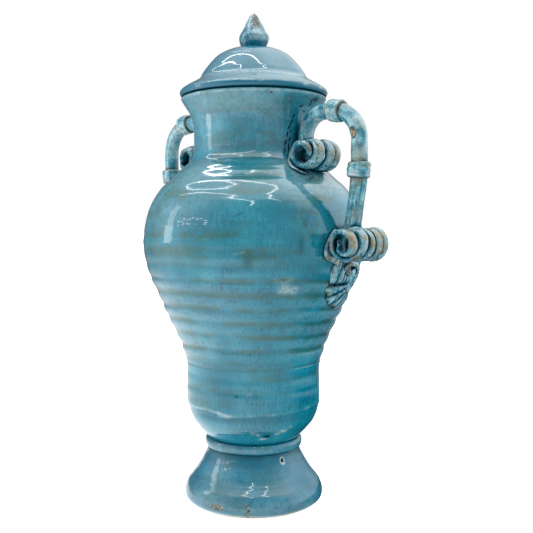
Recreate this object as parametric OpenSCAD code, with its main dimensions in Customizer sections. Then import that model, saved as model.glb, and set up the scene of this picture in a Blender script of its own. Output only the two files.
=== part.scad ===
// Lidded baluster amphora: a hollow hand-thrown pot on a flared foot, with a lift-off domed lid
// and two rod handles that end in clay coils and applied leaves.
// Units are millimetres. +Z is up and the pot stands on Z = 0, on the vessel's axis.
// The handles lie along +X and -X. The lid lifts along +Z.
// A station is [height, radius, slope]: the outline passes through it with that radius per height.

/* [Foot] */
// Standing edge of the foot
foot_stand = [0, 64, 2.2]; // [-2:0.01:80]
// Rounded lip where the foot is widest
foot_lip = [10, 70.8, -0.08]; // [-2:0.01:80]
// Top of the lip, where the flare begins
foot_flare = [22, 65.2, -0.85]; // [-2:0.01:80]
// Middle of the concave flare
foot_mid = [37, 54.8, -0.58]; // [-2:0.01:80]
// Top of the foot under the bead
foot_top = [54.5, 46.4, -0.35]; // [-2:0.01:80]
// Radius of the flat ring the foot stands on, inner edge
foot_ring_r = 54; // [45:1:60]
// Height of the ceiling of the hollow inside the foot
foot_hollow_height = 46; // [30:1:52]
// Radius of that hollow at its ceiling
foot_hollow_r = 33; // [20:1:40]

/* [Bead between foot and pot] */
// Radius of the bead at its crest
bead_r = 50.1; // [48:0.1:53]
// Radius of the core the bead runs round
bead_core_r = 42; // [38:0.5:45]
// Height of the bead
bead_height = 11; // [8:0.5:14]

/* [Pot] */
// Groove above the bead
pot_groove = [65.5, 47.6, 0.9]; // [-2:0.01:350]
// Swell of the lower bulb
pot_swell = [80, 60, 0.66]; // [-2:0.01:350]
// Top of the lower bulb
pot_bulb = [98, 67.2, 0.14]; // [-2:0.01:350]
// Waist
pot_waist = [118, 68.2, 0]; // [-2:0.01:350]
// Foot of the belly flare
pot_rise = [138, 68.8, 0.11]; // [-2:0.01:350]
// Middle of the belly flare
pot_flare = [190, 88.6, 0.485]; // [-2:0.01:350]
// Underside of the belly
pot_lower_belly = [230, 106.9, 0.37]; // [-2:0.01:350]
// Widest line of the belly
pot_belly = [262, 113, 0]; // [-2:0.01:350]
// Upper belly
pot_upper_belly = [300, 105.6, -0.45]; // [-2:0.01:350]
// Shoulder
pot_shoulder = [320, 93.6, -0.82]; // [-2:0.01:350]
// Break between shoulder and neck
pot_break = [333, 79, -1.25]; // [-2:0.01:350]
// Height where the neck ring is set on the shoulder
neck_set_height = 340; // [336:0.5:346]
// Wall thickness of the pot
pot_wall = 8; // [6:0.5:12]
// Height of the inside floor of the pot
pot_floor_height = 78; // [74:1:90]

/* [Neck] */
// Lowest part of the neck, where it meets the shoulder
neck_base = [344, 67.2, -0.8]; // [-2:0.01:420]
// Narrowest line of the neck
neck_throat = [363, 61.4, 0]; // [-2:0.01:420]
// Where the neck begins to flare
neck_flare = [378, 61.5, 0.07]; // [-2:0.01:420]
// Middle of the flare
neck_rise = [396, 66.6, 0.5]; // [-2:0.01:420]
// Edge of the rim
neck_rim = [409.6, 75, 0.55]; // [-2:0.01:420]
// Wall thickness of the neck
neck_wall = 7; // [5:0.5:10]
// Height of the rounding on top of the rim
rim_round = 1.4; // [0.5:0.1:3]

/* [Lid] */
// Lower edge of the brim
lid_edge = [411.4, 73, 1.5]; // [-3:0.01:470]
// Widest line of the brim
lid_widest = [416.5, 76.4, 0]; // [-3:0.01:470]
// Upper shoulder of the brim
lid_slope = [419.6, 74.2, -1.3]; // [-3:0.01:470]
// Foot of the dome
lid_crease = [429, 58.4, -1.5]; // [-3:0.01:470]
// Wall of the dome
lid_wall_station = [437, 52.6, -0.72]; // [-3:0.01:470]
// Shoulder of the dome
lid_shoulder = [452, 40.5, -0.98]; // [-3:0.01:470]
// Crown of the dome
lid_crown = [461, 25, -2.6]; // [-3:0.01:470]
// Height of the dome's top, under the finial
lid_top_height = 464.6; // [460:0.2:470]
// Wall thickness of the lid
lid_wall = 6; // [4:0.5:9]
// Inner radius of the brim
brim_inner_r = 46; // [42:0.5:50]
// Outer radius of the locating collar that drops into the neck
collar_r = 55.6; // [50:0.1:57]
// Wall thickness of that collar
collar_wall = 5; // [3:0.5:7]
// Depth of that collar below the brim
collar_depth = 15; // [8:0.5:22]

/* [Finial] */
// Foot of the finial
finial_base = [464.6, 12.4, 0.4]; // [-1:0.1:520]
// Widest line of the finial
finial_bulb = [474.5, 15.6, 0]; // [-1:0.1:520]
// Taper of the finial
finial_taper = [482, 11.6, -0.55]; // [-1:0.1:520]
// Tip of the finial
finial_tip = [500, 1, -0.5]; // [-1:0.1:520]

/* [Handle rod] */
// Radius of the rod
rod_r = 7.5; // [6:0.1:9]
// Radius of the inner bend
inner_bend_r = 23; // [18:0.5:28]
// Distance from the axis to the inner leg
inner_leg_x = 70; // [66:0.5:76]
// Height of the top of the arch, at the rod's centre
arch_height = 389; // [380:0.5:395]
// Radius of the outer bend
outer_bend_r = 30; // [24:0.5:36]
// Distance from the axis to the outer leg
outer_leg_x = 133.5; // [125:0.5:145]
// Height where the outer leg starts to lean in
lean_start_height = 337; // [320:1:350]
// Radius of that lean
lean_r = 150; // [100:5:250]
// Angle of that lean, degrees
lean_angle = 10; // [4:0.5:16]
// Length of the straight run after it
lean_run = 27; // [20:0.5:35]
// Radius of the last bend into the belly
root_bend_r = 26; // [18:0.5:34]
// Angle of the outer leg where it meets the belly, degrees from vertical
root_angle = 55; // [40:1:70]
// Length of rod pressed into the belly
root_run = 5; // [3:0.5:8]
// How far round from straight opposite each handle is set, degrees
handle_set_back = 1; // [0:0.5:4]
// How much higher the left handle is set
left_handle_raise = 5; // [0:0.5:8]

/* [Strap collars] */
// Radius of both collars
strap_r = 10.9; // [9:0.1:13]
// Length of both collars
strap_length = 14.6; // [10:0.2:20]
// Rounding of their edges
strap_round = 2.4; // [1:0.1:4]
// Height of the middle of the lower collar
lower_strap_height = 331.5; // [320:0.5:340]
// Angle along the outer bend to the middle of the upper collar, degrees from its top
upper_strap_angle = 7; // [0:1:20]

/* [Coils] */
// Centre of the upper coil: distance from the axis, height
upper_coil_at = [83.1, 348]; // [70:0.1:380]
// Length of the upper coil between its end turns
upper_coil_length = 37; // [30:0.5:45]
// Turns of the upper coil
upper_coil_turns = 3.3; // [2:0.1:5]
// Half thickness of its strand: across the turn, along the coil
upper_strand = [4.2, 5.7]; // [3:0.05:7]
// Centre of the lower coil: distance from the axis, height
lower_coil_at = [133.8, 262]; // [70:0.1:380]
// Length of the lower coil between its end turns
lower_coil_length = 50; // [40:0.5:60]
// Turns of the lower coil
lower_coil_turns = 5.3; // [3:0.1:6]
// Half thickness of its strand: across the turn, along the coil
lower_strand = [4.1, 4.55]; // [3:0.05:7]
// Radius of the strand's centre line at the front turn and at the back turn
coil_turn_r = [10.3, 12]; // [8:0.1:14]
// Extra gap after the front turn
coil_front_gap = 2; // [0:0.5:4]
// Turns of the tip that curls inside the front turn
curl_turns = 0.7; // [0.4:0.1:0.9]
// Radius where that tip ends
curl_end_r = 3.2; // [2.5:0.1:5]

/* [Leaves and strand ends] */
// How far leaves and strand ends stand out of the pot
leaf_relief = 4.2; // [2:0.2:7]
// How deep they are pressed into it
leaf_bed = 2; // [1:0.2:4]
// Leaf: height of its top, its length, half width
leaf_size = [249, 48, 14]; // [8:0.5:260]
// Leaf: angle round the pot at its top and at its tip, degrees
leaf_turn = [0, 4]; // [-10:0.5:30]
// Side leaf: height of its top, its length, half width
leaflet_size = [251, 42, 10.5]; // [8:0.5:260]
// Side leaf: angle round the pot at its top and at its tip, degrees
leaflet_turn = [22, 15]; // [-10:0.5:30]
// Wrap under the lower coil: height of its middle, angle round the pot, radius of the wrap
wrap_at = [247, 4, 8]; // [2:0.5:260]
// Half thickness of the wrap's strand
wrap_strand = 3.4; // [2:0.1:5]
// Upper strand end: heights and angles of its start and finish
upper_tail_run = [357, -14, 338, -19]; // [-30:0.5:370]
// Lower strand end: heights and angles of its start and finish
lower_tail_run = [279, -9.5, 246, -13]; // [-30:0.5:370]
// Half width of the strand ends
tail_half_width = 5; // [3:0.1:7]

/* [Hidden] */

$fn = 96;
// Steps between two stations of an outline
steps = 7;
// Points round the rod, and segments of a strap's edge
rod_points = 24;
rod_fn = 40;
// Sections in one turn of a coil, and points round a strand
turn_sections = 18;
strand_points = 10;
// Steps along and across a leaf
leaf_rows = 14;
leaf_columns = 6;
// Lobes along a leaf's edge and how deep they are cut
leaf_lobes = 3;
lobe_depth = 0.16;
// A small overlap that keeps joined solids sound
weld = 0.5;
full_turn = 360;
half_turn = 180;
quarter_turn = 90;
glaze = [0.31, 0.55, 0.63];
glaze_handle = [0.36, 0.60, 0.66];
glaze_lid = [0.40, 0.58, 0.66];
glaze_leaf = [0.42, 0.62, 0.66];

// Cubic between two stations a and b at fraction t, as [height, radius]
function blend(a, b, t) = let (h = b[0] - a[0], u = t * t * (3 - 2 * t)) [
    a[0] + t * h,
    (1 - u) * a[1] + u * b[1] + t * (1 - t) * h * ((1 - t) * a[2] - t * b[2])
];

// Outline through a list of stations, as [radius, height] points
function outline(stations) = [
    for (i = [0 : len(stations) - 2])
        for (j = [0 : steps - 1])
            let (p = blend(stations[i], stations[i + 1], j / steps)) [p[1], p[0]],
    [stations[len(stations) - 1][1], stations[len(stations) - 1][0]]
];

// The same outline moved inwards by a wall thickness, listed from the top down
function inside(points, wall) = [
    for (i = [len(points) - 1 : -1 : 0])
        let (
            a = points[max(i - 1, 0)],
            b = points[min(i + 1, len(points) - 1)],
            d = norm(b - a)
        ) [points[i][0] - wall * (b[1] - a[1]) / d, points[i][1] + wall * (b[0] - a[0]) / d]
];

// The part of a list of points between two heights
function between(points, low, high) = [
    for (p = points) if (p[1] > low && p[1] < high) p
];

pot_stations = [
    pot_groove, pot_swell, pot_bulb, pot_waist, pot_rise, pot_flare,
    pot_lower_belly, pot_belly, pot_upper_belly, pot_shoulder, pot_break, neck_base,
    neck_throat, neck_flare, neck_rise, neck_rim
];
pot_outline = outline(pot_stations);
pot_inside = inside(pot_outline, pot_wall);

// Outer radius of the pot at a height
function pot_radius(z) = lookup(z, [for (p = pot_outline) [p[1], p[0]]]);
function pot_inner_radius(z) = lookup(
    z,
    [for (i = [len(pot_inside) - 1 : -1 : 0]) [pot_inside[i][1], pot_inside[i][0]]]
);

// A point on the pot's skin, raised by a distance, at an angle round the pot and a height
function on_pot(angle, z, raise) = [
    (pot_radius(z) + raise) * cos(angle),
    (pot_radius(z) + raise) * sin(angle),
    z
];

// Faces that close a tube made of rings of points
function tube_faces(rings, points) = [
    [for (j = [points - 1 : -1 : 0]) j],
    for (i = [0 : rings - 2])
        for (j = [0 : points - 1])
            let (k = (j + 1) % points)
            [i * points + j, i * points + k, (i + 1) * points + k, (i + 1) * points + j],
    [for (j = [0 : points - 1]) (rings - 1) * points + j]
];

module revolve(points) {
    rotate_extrude()
        polygon(points);
}

module belly() {
    skin = between(pot_outline, pot_groove[0] - weld, neck_set_height);
    hollow = between(pot_inside, pot_floor_height, neck_set_height);
    color(glaze)
        revolve(concat(
            [[0, pot_groove[0]]],
            skin,
            [[pot_radius(neck_set_height), neck_set_height]],
            [[pot_inner_radius(neck_set_height), neck_set_height]],
            hollow,
            [[pot_inner_radius(pot_floor_height), pot_floor_height]],
            [[0, pot_floor_height]]
        ));
}

module neck() {
    rim = neck_rim[0];
    skin = between(pot_outline, neck_set_height, rim + weld);
    hollow = between(inside(pot_outline, neck_wall), neck_set_height, rim - rim_round);
    color(glaze)
        revolve(concat(
            [[pot_radius(neck_set_height), neck_set_height]],
            skin,
            [[neck_rim[1] - rim_round, rim + rim_round]],
            [[neck_rim[1] - neck_wall, rim + rim_round]],
            hollow,
            [[pot_inner_radius(neck_set_height), neck_set_height]]
        ));
}

module foot() {
    stations = [foot_stand, foot_lip, foot_flare, foot_mid, foot_top];
    color(glaze)
        revolve(concat(
            [[foot_ring_r, foot_stand[0]]],
            outline(stations),
            [[0, foot_top[0]]],
            [[0, foot_hollow_height]],
            [[foot_hollow_r, foot_hollow_height]]
        ));
}

module foot_bead() {
    bulge = bead_r - bead_core_r;
    color(glaze)
        translate([0, 0, foot_top[0]])
            revolve(concat(
                [[0, 0]],
                [for (i = [0 : steps])
                    let (a = half_turn * i / steps)
                    [bead_core_r + bulge * pow(sin(a), 0.5), bead_height * (1 - cos(a)) / 2]],
                [[0, bead_height]]
            ));
}

lid_outline = outline([
    lid_edge, lid_widest, lid_slope, lid_crease, lid_wall_station, lid_shoulder, lid_crown
]);

module lid_brim() {
    skin = between(lid_outline, lid_edge[0] - weld, lid_crease[0] - weld);
    color(glaze_lid)
        revolve(concat(
            [[brim_inner_r, lid_edge[0]]],
            skin,
            [[lid_crease[1], lid_crease[0]]],
            [[lid_crease[1] - lid_wall, lid_crease[0]]],
            [[brim_inner_r, lid_edge[0] + lid_wall]]
        ));
}

module lid_dome() {
    skin = between(lid_outline, lid_crease[0], lid_crown[0] + weld);
    ceiling = lid_top_height - lid_wall;
    hollow = between(inside(lid_outline, lid_wall), lid_crease[0] + weld, ceiling);
    color(glaze_lid)
        revolve(concat(
            [[lid_crease[1] - lid_wall, lid_crease[0]]],
            [[lid_crease[1], lid_crease[0]]],
            skin,
            [[finial_base[1], lid_top_height]],
            [[0, lid_top_height]],
            [[0, ceiling]],
            [for (p = hollow) if (p[0] > weld) p]
        ));
}

module lid_collar() {
    color(glaze_lid)
        translate([0, 0, lid_edge[0] - collar_depth])
            difference() {
                cylinder(h = collar_depth, r1 = collar_r - rim_round, r2 = collar_r);
                translate([0, 0, -weld])
                    cylinder(h = collar_depth + 2 * weld, r = collar_r - collar_wall);
            }
}

module finial() {
    color(glaze_lid)
        revolve(concat(
            [[0, finial_base[0]]],
            outline([finial_base, finial_bulb, finial_taper, finial_tip]),
            [[0, finial_tip[0]]]
        ));
}

inner_bend_at = [inner_leg_x + inner_bend_r, arch_height - inner_bend_r];
outer_bend_at = [outer_leg_x - outer_bend_r, arch_height - outer_bend_r];
lean_at = [outer_leg_x - lean_r, lean_start_height];
lean_end = [
    lean_at[0] + lean_r * cos(lean_angle),
    lean_at[1] - lean_r * sin(lean_angle)
];
root_start = [
    lean_end[0] - lean_run * sin(lean_angle),
    lean_end[1] - lean_run * cos(lean_angle)
];
root_at = [
    root_start[0] - root_bend_r * cos(lean_angle),
    root_start[1] + root_bend_r * sin(lean_angle)
];
root_end = [
    root_at[0] + root_bend_r * cos(root_angle),
    root_at[1] - root_bend_r * sin(root_angle)
];
root_finish = [
    root_end[0] - root_run * sin(root_angle),
    root_end[1] - root_run * cos(root_angle)
];
inner_leg_foot = neck_set_height - rod_r;

// Points round a bend in the XZ plane as [x, z, angle], from one angle to another
function bend(centre, bend_r, from, to, count) = [
    for (i = [0 : count])
        let (a = from + (to - from) * i / count)
        [centre[0] + bend_r * cos(a), centre[1] + bend_r * sin(a), a]
];

rod_line = concat(
    [[inner_leg_x, inner_leg_foot, half_turn]],
    bend(inner_bend_at, inner_bend_r, half_turn, quarter_turn, 2 * steps),
    bend(outer_bend_at, outer_bend_r, quarter_turn, 0, 2 * steps),
    bend(lean_at, lean_r, 0, -lean_angle, steps),
    bend(root_at, root_bend_r, -lean_angle, -root_angle, steps),
    [[root_finish[0], root_finish[1], -root_angle]]
);

module rod() {
    rings = [
        for (p = rod_line)
            for (j = [0 : rod_points - 1])
                let (
                    b = full_turn * j / rod_points,
                    out = rod_r * cos(b)
                )
                [p[0] + out * cos(p[2]), rod_r * sin(b), p[1] + out * sin(p[2])]
    ];
    color(glaze_handle)
        difference() {
            polyhedron(rings, tube_faces(len(rod_line), rod_points), convexity = 6);
            translate([0, 0, inner_leg_foot - weld])
                cylinder(
                    h = 4 * rod_r,
                    r1 = pot_radius(inner_leg_foot) - pot_wall / 2,
                    r2 = neck_throat[1] - neck_wall / 2
                );
        }
}

// A round strap with softened edges, centred on the origin along Z
module strap() {
    flat = strap_length / 2 - strap_round;
    color(glaze_handle)
        rotate_extrude($fn = rod_fn)
            union() {
                translate([0, -strap_length / 2])
                    square([strap_r - strap_round, strap_length]);
                translate([0, -flat])
                    square([strap_r, 2 * flat]);
                for (side = [-1, 1])
                    translate([strap_r - strap_round, side * flat])
                        circle(r = strap_round, $fn = rod_fn);
            }
}

module upper_strap() {
    translate([
        outer_bend_at[0] + outer_bend_r * sin(upper_strap_angle),
        0,
        outer_bend_at[1] + outer_bend_r * cos(upper_strap_angle)
    ])
        rotate([0, quarter_turn + upper_strap_angle, 0])
            strap();
}

module lower_strap() {
    translate([outer_leg_x - weld, 0, lower_strap_height])
        rotate([0, lean_angle / 2, 0])
            strap();
}

// A coil along Y: the strand's tip curls inside the front turn, then winds back along +Y
module coil(at, run, turns, strand) {
    sections = round((turns + curl_turns) * turn_sections);
    spacing = (run - coil_front_gap) / (turns - 1 / 2);
    rings = [
        for (i = [0 : sections])
            let (
                turn = i / turn_sections - curl_turns,
                tip = min(1, 1 + turn / curl_turns),
                back = max(0, turn) / turns,
                turn_r = turn < 0
                    ? curl_end_r + (coil_turn_r[0] - curl_end_r) * pow(tip, 1.6)
                    : coil_turn_r[0] + (coil_turn_r[1] - coil_turn_r[0]) * back,
                along = max(0, turn) * spacing + coil_front_gap * min(1, max(0, turn)),
                taper = min(1, 0.5 + tip / 2, (1 - back) * turns * 2 + 0.4),
                a = full_turn * turn
            )
            for (j = [0 : strand_points - 1])
                let (
                    b = full_turn * j / strand_points,
                    r = turn_r + taper * strand[0] * cos(b),
                    y = along - run / 2 + taper * strand[1] * sin(b)
                )
                [at[0] + r * cos(a), y, at[1] + r * sin(a)]
    ];
    color(glaze_handle)
        polyhedron(rings, tube_faces(sections + 1, strand_points), convexity = 8);
}

// A leaf pressed on the pot: size is [top height, length, half width], turn is [top, tip] angles
module pressed_leaf(size, turn) {
    count = leaf_columns + 1;
    rings = [
        for (i = [0 : leaf_rows])
            let (
                t = i / leaf_rows,
                z = size[0] - size[1] * t,
                lobes = 1 - lobe_depth * (1 - cos(full_turn * leaf_lobes * t)) / 2,
                half = size[2] * lobes * pow(sin(half_turn * (0.08 + 0.88 * t)), 0.75),
                angle = turn[0] + (turn[1] - turn[0]) * t,
                spread = half / pot_radius(z) * half_turn / PI
            )
            concat(
                [for (j = [0 : leaf_columns])
                    let (v = 2 * j / leaf_columns - 1)
                    on_pot(angle + v * spread, z, leaf_relief * (0.35 + 0.65 * (1 - v * v)))],
                [for (j = [leaf_columns : -1 : 0])
                    let (v = 2 * j / leaf_columns - 1)
                    on_pot(angle + v * spread, z, -leaf_bed)]
            )
    ];
    points = [for (ring = rings) for (p = ring) p];
    color(glaze_leaf)
        polyhedron(points, tube_faces(leaf_rows + 1, 2 * count), convexity = 6);
}

// A strand laid down on the pot: run is [start height, start angle, end height, end angle]
module strand_end(run, lift) {
    rings = [
        for (i = [0 : leaf_rows])
            let (
                t = i / leaf_rows,
                z = run[0] + (run[2] - run[0]) * t,
                angle = run[1] + (run[3] - run[1]) * t,
                half = tail_half_width * pow(sin(half_turn * (0.12 + 0.8 * t)), 0.4)
            )
            for (j = [0 : strand_points - 1])
                let (
                    b = full_turn * j / strand_points,
                    spread = half * cos(b) / pot_radius(z) * half_turn / PI
                )
                on_pot(angle + spread, z, lift + leaf_relief * 0.8 * sin(b))
    ];
    color(glaze_handle)
        polyhedron(rings, tube_faces(leaf_rows + 1, strand_points), convexity = 6);
}

// A short strand wrapped over the top of the leaf
module wrap() {
    sections = turn_sections;
    rings = [
        for (i = [0 : sections])
            let (
                a = half_turn * 1.3 * i / sections - quarter_turn * 0.3,
                taper = 0.55 + 0.45 * sin(half_turn * i / sections)
            )
            for (j = [0 : strand_points - 1])
                let (
                    b = full_turn * j / strand_points,
                    r = wrap_at[2] + taper * wrap_strand * cos(b),
                    z = wrap_at[0] + r * sin(a),
                    angle = wrap_at[1] + r * cos(a) / pot_radius(z) * half_turn / PI
                )
                on_pot(angle, z, wrap_strand * 0.5 + taper * wrap_strand * sin(b))
    ];
    color(glaze_leaf)
        polyhedron(rings, tube_faces(sections + 1, strand_points), convexity = 6);
}

module right_side() {
    rotate([0, 0, handle_set_back])
        children();
}

module left_side() {
    mirror([1, 0, 0])
        rotate([0, 0, handle_set_back])
            translate([0, 0, left_handle_raise])
                children();
}

// Leaves and strand ends follow the pot's skin, so the left ones are not raised
module left_skin() {
    mirror([1, 0, 0])
        rotate([0, 0, handle_set_back])
            children();
}

belly();
neck();
foot();
foot_bead();
lid_dome();
lid_brim();
lid_collar();
finial();
right_side() rod();  // rod_right
right_side() upper_strap();  // upper_strap_right
right_side() lower_strap();  // lower_strap_right
right_side() coil(upper_coil_at, upper_coil_length, upper_coil_turns, upper_strand);  // upper_coil_right
right_side() coil(lower_coil_at, lower_coil_length, lower_coil_turns, lower_strand);  // lower_coil_right
right_side() strand_end(upper_tail_run, 0);  // upper_tail_right
right_side() strand_end(lower_tail_run, 0);  // lower_tail_right
right_side() pressed_leaf(leaf_size, leaf_turn);  // leaf_right
right_side() pressed_leaf(leaflet_size, leaflet_turn);  // leaflet_right
right_side() wrap();  // wrap_right
left_side() rod();  // rod_left
left_side() upper_strap();  // upper_strap_left
left_side() lower_strap();  // lower_strap_left
left_side() coil(upper_coil_at, upper_coil_length, upper_coil_turns, upper_strand);  // upper_coil_left
left_side() coil(lower_coil_at, lower_coil_length, lower_coil_turns, lower_strand);  // lower_coil_left
left_skin() strand_end(upper_tail_run, 0);  // upper_tail_left
left_skin() strand_end(lower_tail_run, 0);  // lower_tail_left
left_skin() pressed_leaf(leaf_size, leaf_turn);  // leaf_left
left_skin() pressed_leaf(leaflet_size, leaflet_turn);  // leaflet_left
left_skin() wrap();  // wrap_left
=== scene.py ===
"""Lidded baluster amphora: visual pieces, glazes, camera, lights and floor around the CAD frame."""
import math

import bpy
import numpy as np
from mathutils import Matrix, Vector, noise
from mathutils.bvhtree import BVHTree


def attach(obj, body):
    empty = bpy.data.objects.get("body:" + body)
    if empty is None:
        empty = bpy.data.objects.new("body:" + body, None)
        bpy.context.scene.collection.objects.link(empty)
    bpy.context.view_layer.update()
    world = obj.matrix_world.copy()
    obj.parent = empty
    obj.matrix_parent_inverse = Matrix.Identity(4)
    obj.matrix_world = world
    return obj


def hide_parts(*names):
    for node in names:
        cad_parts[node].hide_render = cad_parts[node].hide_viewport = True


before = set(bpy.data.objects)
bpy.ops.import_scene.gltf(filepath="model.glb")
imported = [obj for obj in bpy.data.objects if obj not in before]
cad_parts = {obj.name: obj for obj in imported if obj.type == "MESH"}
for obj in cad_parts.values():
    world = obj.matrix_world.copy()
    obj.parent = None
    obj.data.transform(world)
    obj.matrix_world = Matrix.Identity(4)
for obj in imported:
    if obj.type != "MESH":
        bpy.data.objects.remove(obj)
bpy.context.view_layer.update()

MM = 0.001
TAU = 2.0 * math.pi


# ---------------------------------------------------------------- outlines (millimetres)
# A station is (height, radius, slope), as in the CAD source.
FOOT = [(0, 64, 2.2), (10, 70.8, -0.08), (22, 65.2, -0.85), (37, 54.8, -0.58), (54.5, 46.4, -0.35)]
POT = [(65.5, 47.6, 0.9), (80, 60, 0.66), (98, 67.2, 0.14), (118, 68.2, 0), (138, 68.8, 0.11),
       (190, 88.6, 0.485), (230, 106.9, 0.37), (262, 113, 0), (300, 105.6, -0.45),
       (320, 93.6, -0.82), (333, 79, -1.25), (344, 67.2, -0.8), (363, 61.4, 0), (378, 61.5, 0.07),
       (396, 66.6, 0.5), (409.6, 75, 0.55)]
LID = [(412.2, 74.2, 1.1), (416.5, 76.4, 0), (419.6, 74.2, -1.3), (429, 58.4, -1.5),
       (437, 52.6, -0.72), (452, 40.5, -0.98), (461, 25, -2.6)]
FINIAL = [(464.6, 12.4, 0.4), (474.5, 15.6, 0), (482, 11.7, -0.62), (488, 8.3, -0.52),
          (494, 5.3, -0.5), (498, 3.0, -0.75), (499.8, 1.0, -1.6)]


def blend_station(a, b, t):
    h = b[0] - a[0]
    u = t * t * (3 - 2 * t)
    return (a[0] + t * h,
            (1 - u) * a[1] + u * b[1] + t * (1 - t) * h * ((1 - t) * a[2] - t * b[2]))


def outline(stations, step):
    """Points (radius, height) along the stations, about step mm apart."""
    out = []
    for a, b in zip(stations[:-1], stations[1:]):
        length = math.hypot(b[0] - a[0], b[1] - a[1])
        count = max(2, round(length / step))
        for i in range(count):
            z, r = blend_station(a, b, i / count)
            out.append((r, z))
    out.append((stations[-1][1], stations[-1][0]))
    return out


def inset(points, wall):
    """The outline moved inwards by a wall, from the top down."""
    out = []
    for i in range(len(points) - 1, -1, -1):
        a, b = points[max(i - 1, 0)], points[min(i + 1, len(points) - 1)]
        d = math.hypot(b[0] - a[0], b[1] - a[1])
        out.append((points[i][0] - wall * (b[1] - a[1]) / d, points[i][1] + wall * (b[0] - a[0]) / d))
    return out


POT_TABLE = np.array([(z, r) for r, z in outline(POT, 1.0)])


def pot_radius(z):
    return float(np.interp(z, POT_TABLE[:, 0], POT_TABLE[:, 1]))


def smooth(x, low, high):
    t = min(1.0, max(0.0, (x - low) / (high - low)))
    return t * t * (3 - 2 * t)


def between(x, rise, full, fade, gone):
    """1 from full to fade, eased in from rise and out until gone."""
    return smooth(x, rise, full) * (1 - smooth(x, fade, gone))


def gauss(x, width):
    return math.exp(-(x / width) ** 2)


def wrap(angle):
    """An angle brought between -pi and pi."""
    return (angle + math.pi) % TAU - math.pi


def noise3(x, y, z, scale):
    return noise.noise(Vector((x * scale, y * scale, z * scale)))


def through(knots, at):
    """A smooth curve through knots (position, value, value, ...), read at a position."""
    if at <= knots[0][0]:
        return knots[0][1:]
    if at >= knots[-1][0]:
        return knots[-1][1:]
    i = 0
    while knots[i + 1][0] < at:
        i += 1
    k0, k1, k2, k3 = knots[max(i - 1, 0)], knots[i], knots[i + 1], knots[min(i + 2, len(knots) - 1)]
    h = k2[0] - k1[0]
    t = (at - k1[0]) / h
    out = []
    for c in range(1, len(k1)):
        m1 = (k2[c] - k0[c]) / (k2[0] - k0[0]) * h
        m2 = (k3[c] - k1[c]) / (k3[0] - k1[0]) * h
        out.append((2 * t ** 3 - 3 * t ** 2 + 1) * k1[c] + (t ** 3 - 2 * t ** 2 + t) * m1
                   + (3 * t ** 2 - 2 * t ** 3) * k2[c] + (t ** 3 - t ** 2) * m2)
    return out


# ---------------------------------------------------------------- mesh helpers
def make_object(name, verts, faces, attributes=None, smooth_shade=True):
    a, b, c = (np.array([verts[f[i]] for f in faces]) for i in (0, 1, 2))
    if name != "floor" and np.einsum("ij,ij->i", a - np.mean(verts, axis=0),
                                     np.cross(b - a, c - a)).sum() < 0:
        faces = [f[::-1] for f in faces]          # faces look outwards
    mesh = bpy.data.meshes.new(name)
    mesh.from_pydata([tuple(c * MM for c in v) for v in verts], [], faces)
    mesh.validate()
    for key, values in (attributes or {}).items():
        layer = mesh.attributes.new(key, "FLOAT", "POINT")
        layer.data.foreach_set("value", np.array(values, dtype=np.float32))
    if smooth_shade:
        mesh.polygons.foreach_set("use_smooth", [True] * len(mesh.polygons))
    mesh.update()
    obj = bpy.data.objects.new(name, mesh)
    bpy.context.scene.collection.objects.link(obj)
    return obj


def revolve(name, rows, angles, warp=None, marks=None):
    """A closed solid from (radius, height) rows; the first and last rows lie on the axis.

    warp(r, z, angle, row) gives how far the skin moves out and up; marks(point, radius, angle, row)
    gives the attribute values there."""
    verts, faces, values = [], [], {}
    rings = []
    for i, (r, z) in enumerate(rows):
        ring = []
        for a in (angles if r > 1e-6 else angles[:1]):
            dr, dz = warp(r, z, a, i) if warp and r > 1e-6 else (0.0, 0.0)
            rr = r + dr
            p = (rr * math.cos(a), rr * math.sin(a), z + dz)
            ring.append(len(verts))
            verts.append(p)
            if marks:
                for key, value in marks(p, rr, a, i).items():
                    values.setdefault(key, []).append(value)
        rings.append(ring)
    count = len(angles)
    for low, high in zip(rings[:-1], rings[1:]):
        for j in range(count):
            k = (j + 1) % count
            if len(low) == 1 and len(high) > 1:
                faces.append((low[0], high[k], high[j]))
            elif len(high) == 1 and len(low) > 1:
                faces.append((low[j], low[k], high[0]))
            elif len(low) > 1:
                faces.append((low[j], low[k], high[k], high[j]))
    return make_object(name, verts, faces, values)


def even(count):
    return [TAU * j / count for j in range(count)]


def tube(name, rings, marks, side="right", raised=True):
    """A closed tube from rings of points, capped with a fan at both ends and put on its side.

    marks(point, ring, angle round it) gives the attribute values."""
    count, points = len(rings), len(rings[0])
    verts = [p for ring in rings for p in ring]
    keys = [(i, TAU * j / points) for i in range(count) for j in range(points)]
    faces = []
    for i in range(count - 1):
        for j in range(points):
            k = (j + 1) % points
            faces.append((i * points + j, i * points + k, (i + 1) * points + k, (i + 1) * points + j))
    for i, order in ((0, -1), (count - 1, 1)):
        centre = len(verts)
        verts.append(tuple(sum(p[c] for p in rings[i]) / points for c in range(3)))
        keys.append((i, 0.0))
        for j in range(points):
            k = (j + 1) % points
            a, b = i * points + j, i * points + k
            faces.append((a, b, centre) if order > 0 else (b, a, centre))
    values = {}
    for p, (i, b) in zip(verts, keys):
        for key, value in marks(p, i, b).items():
            values.setdefault(key, []).append(value)
    return on_side(name, verts, faces, values, side, raised)


# ---------------------------------------------------------------- camera
AZIMUTH = math.radians(44.0)
DISTANCE = 0.820
EYE_HEIGHT = 0.2795
FRAME_WIDTH = 0.5531          # width seen at the vessel's axis
SHIFT = (0.0242, -0.0760)     # parts of the frame by which the vessel stands left of its middle and low

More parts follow.
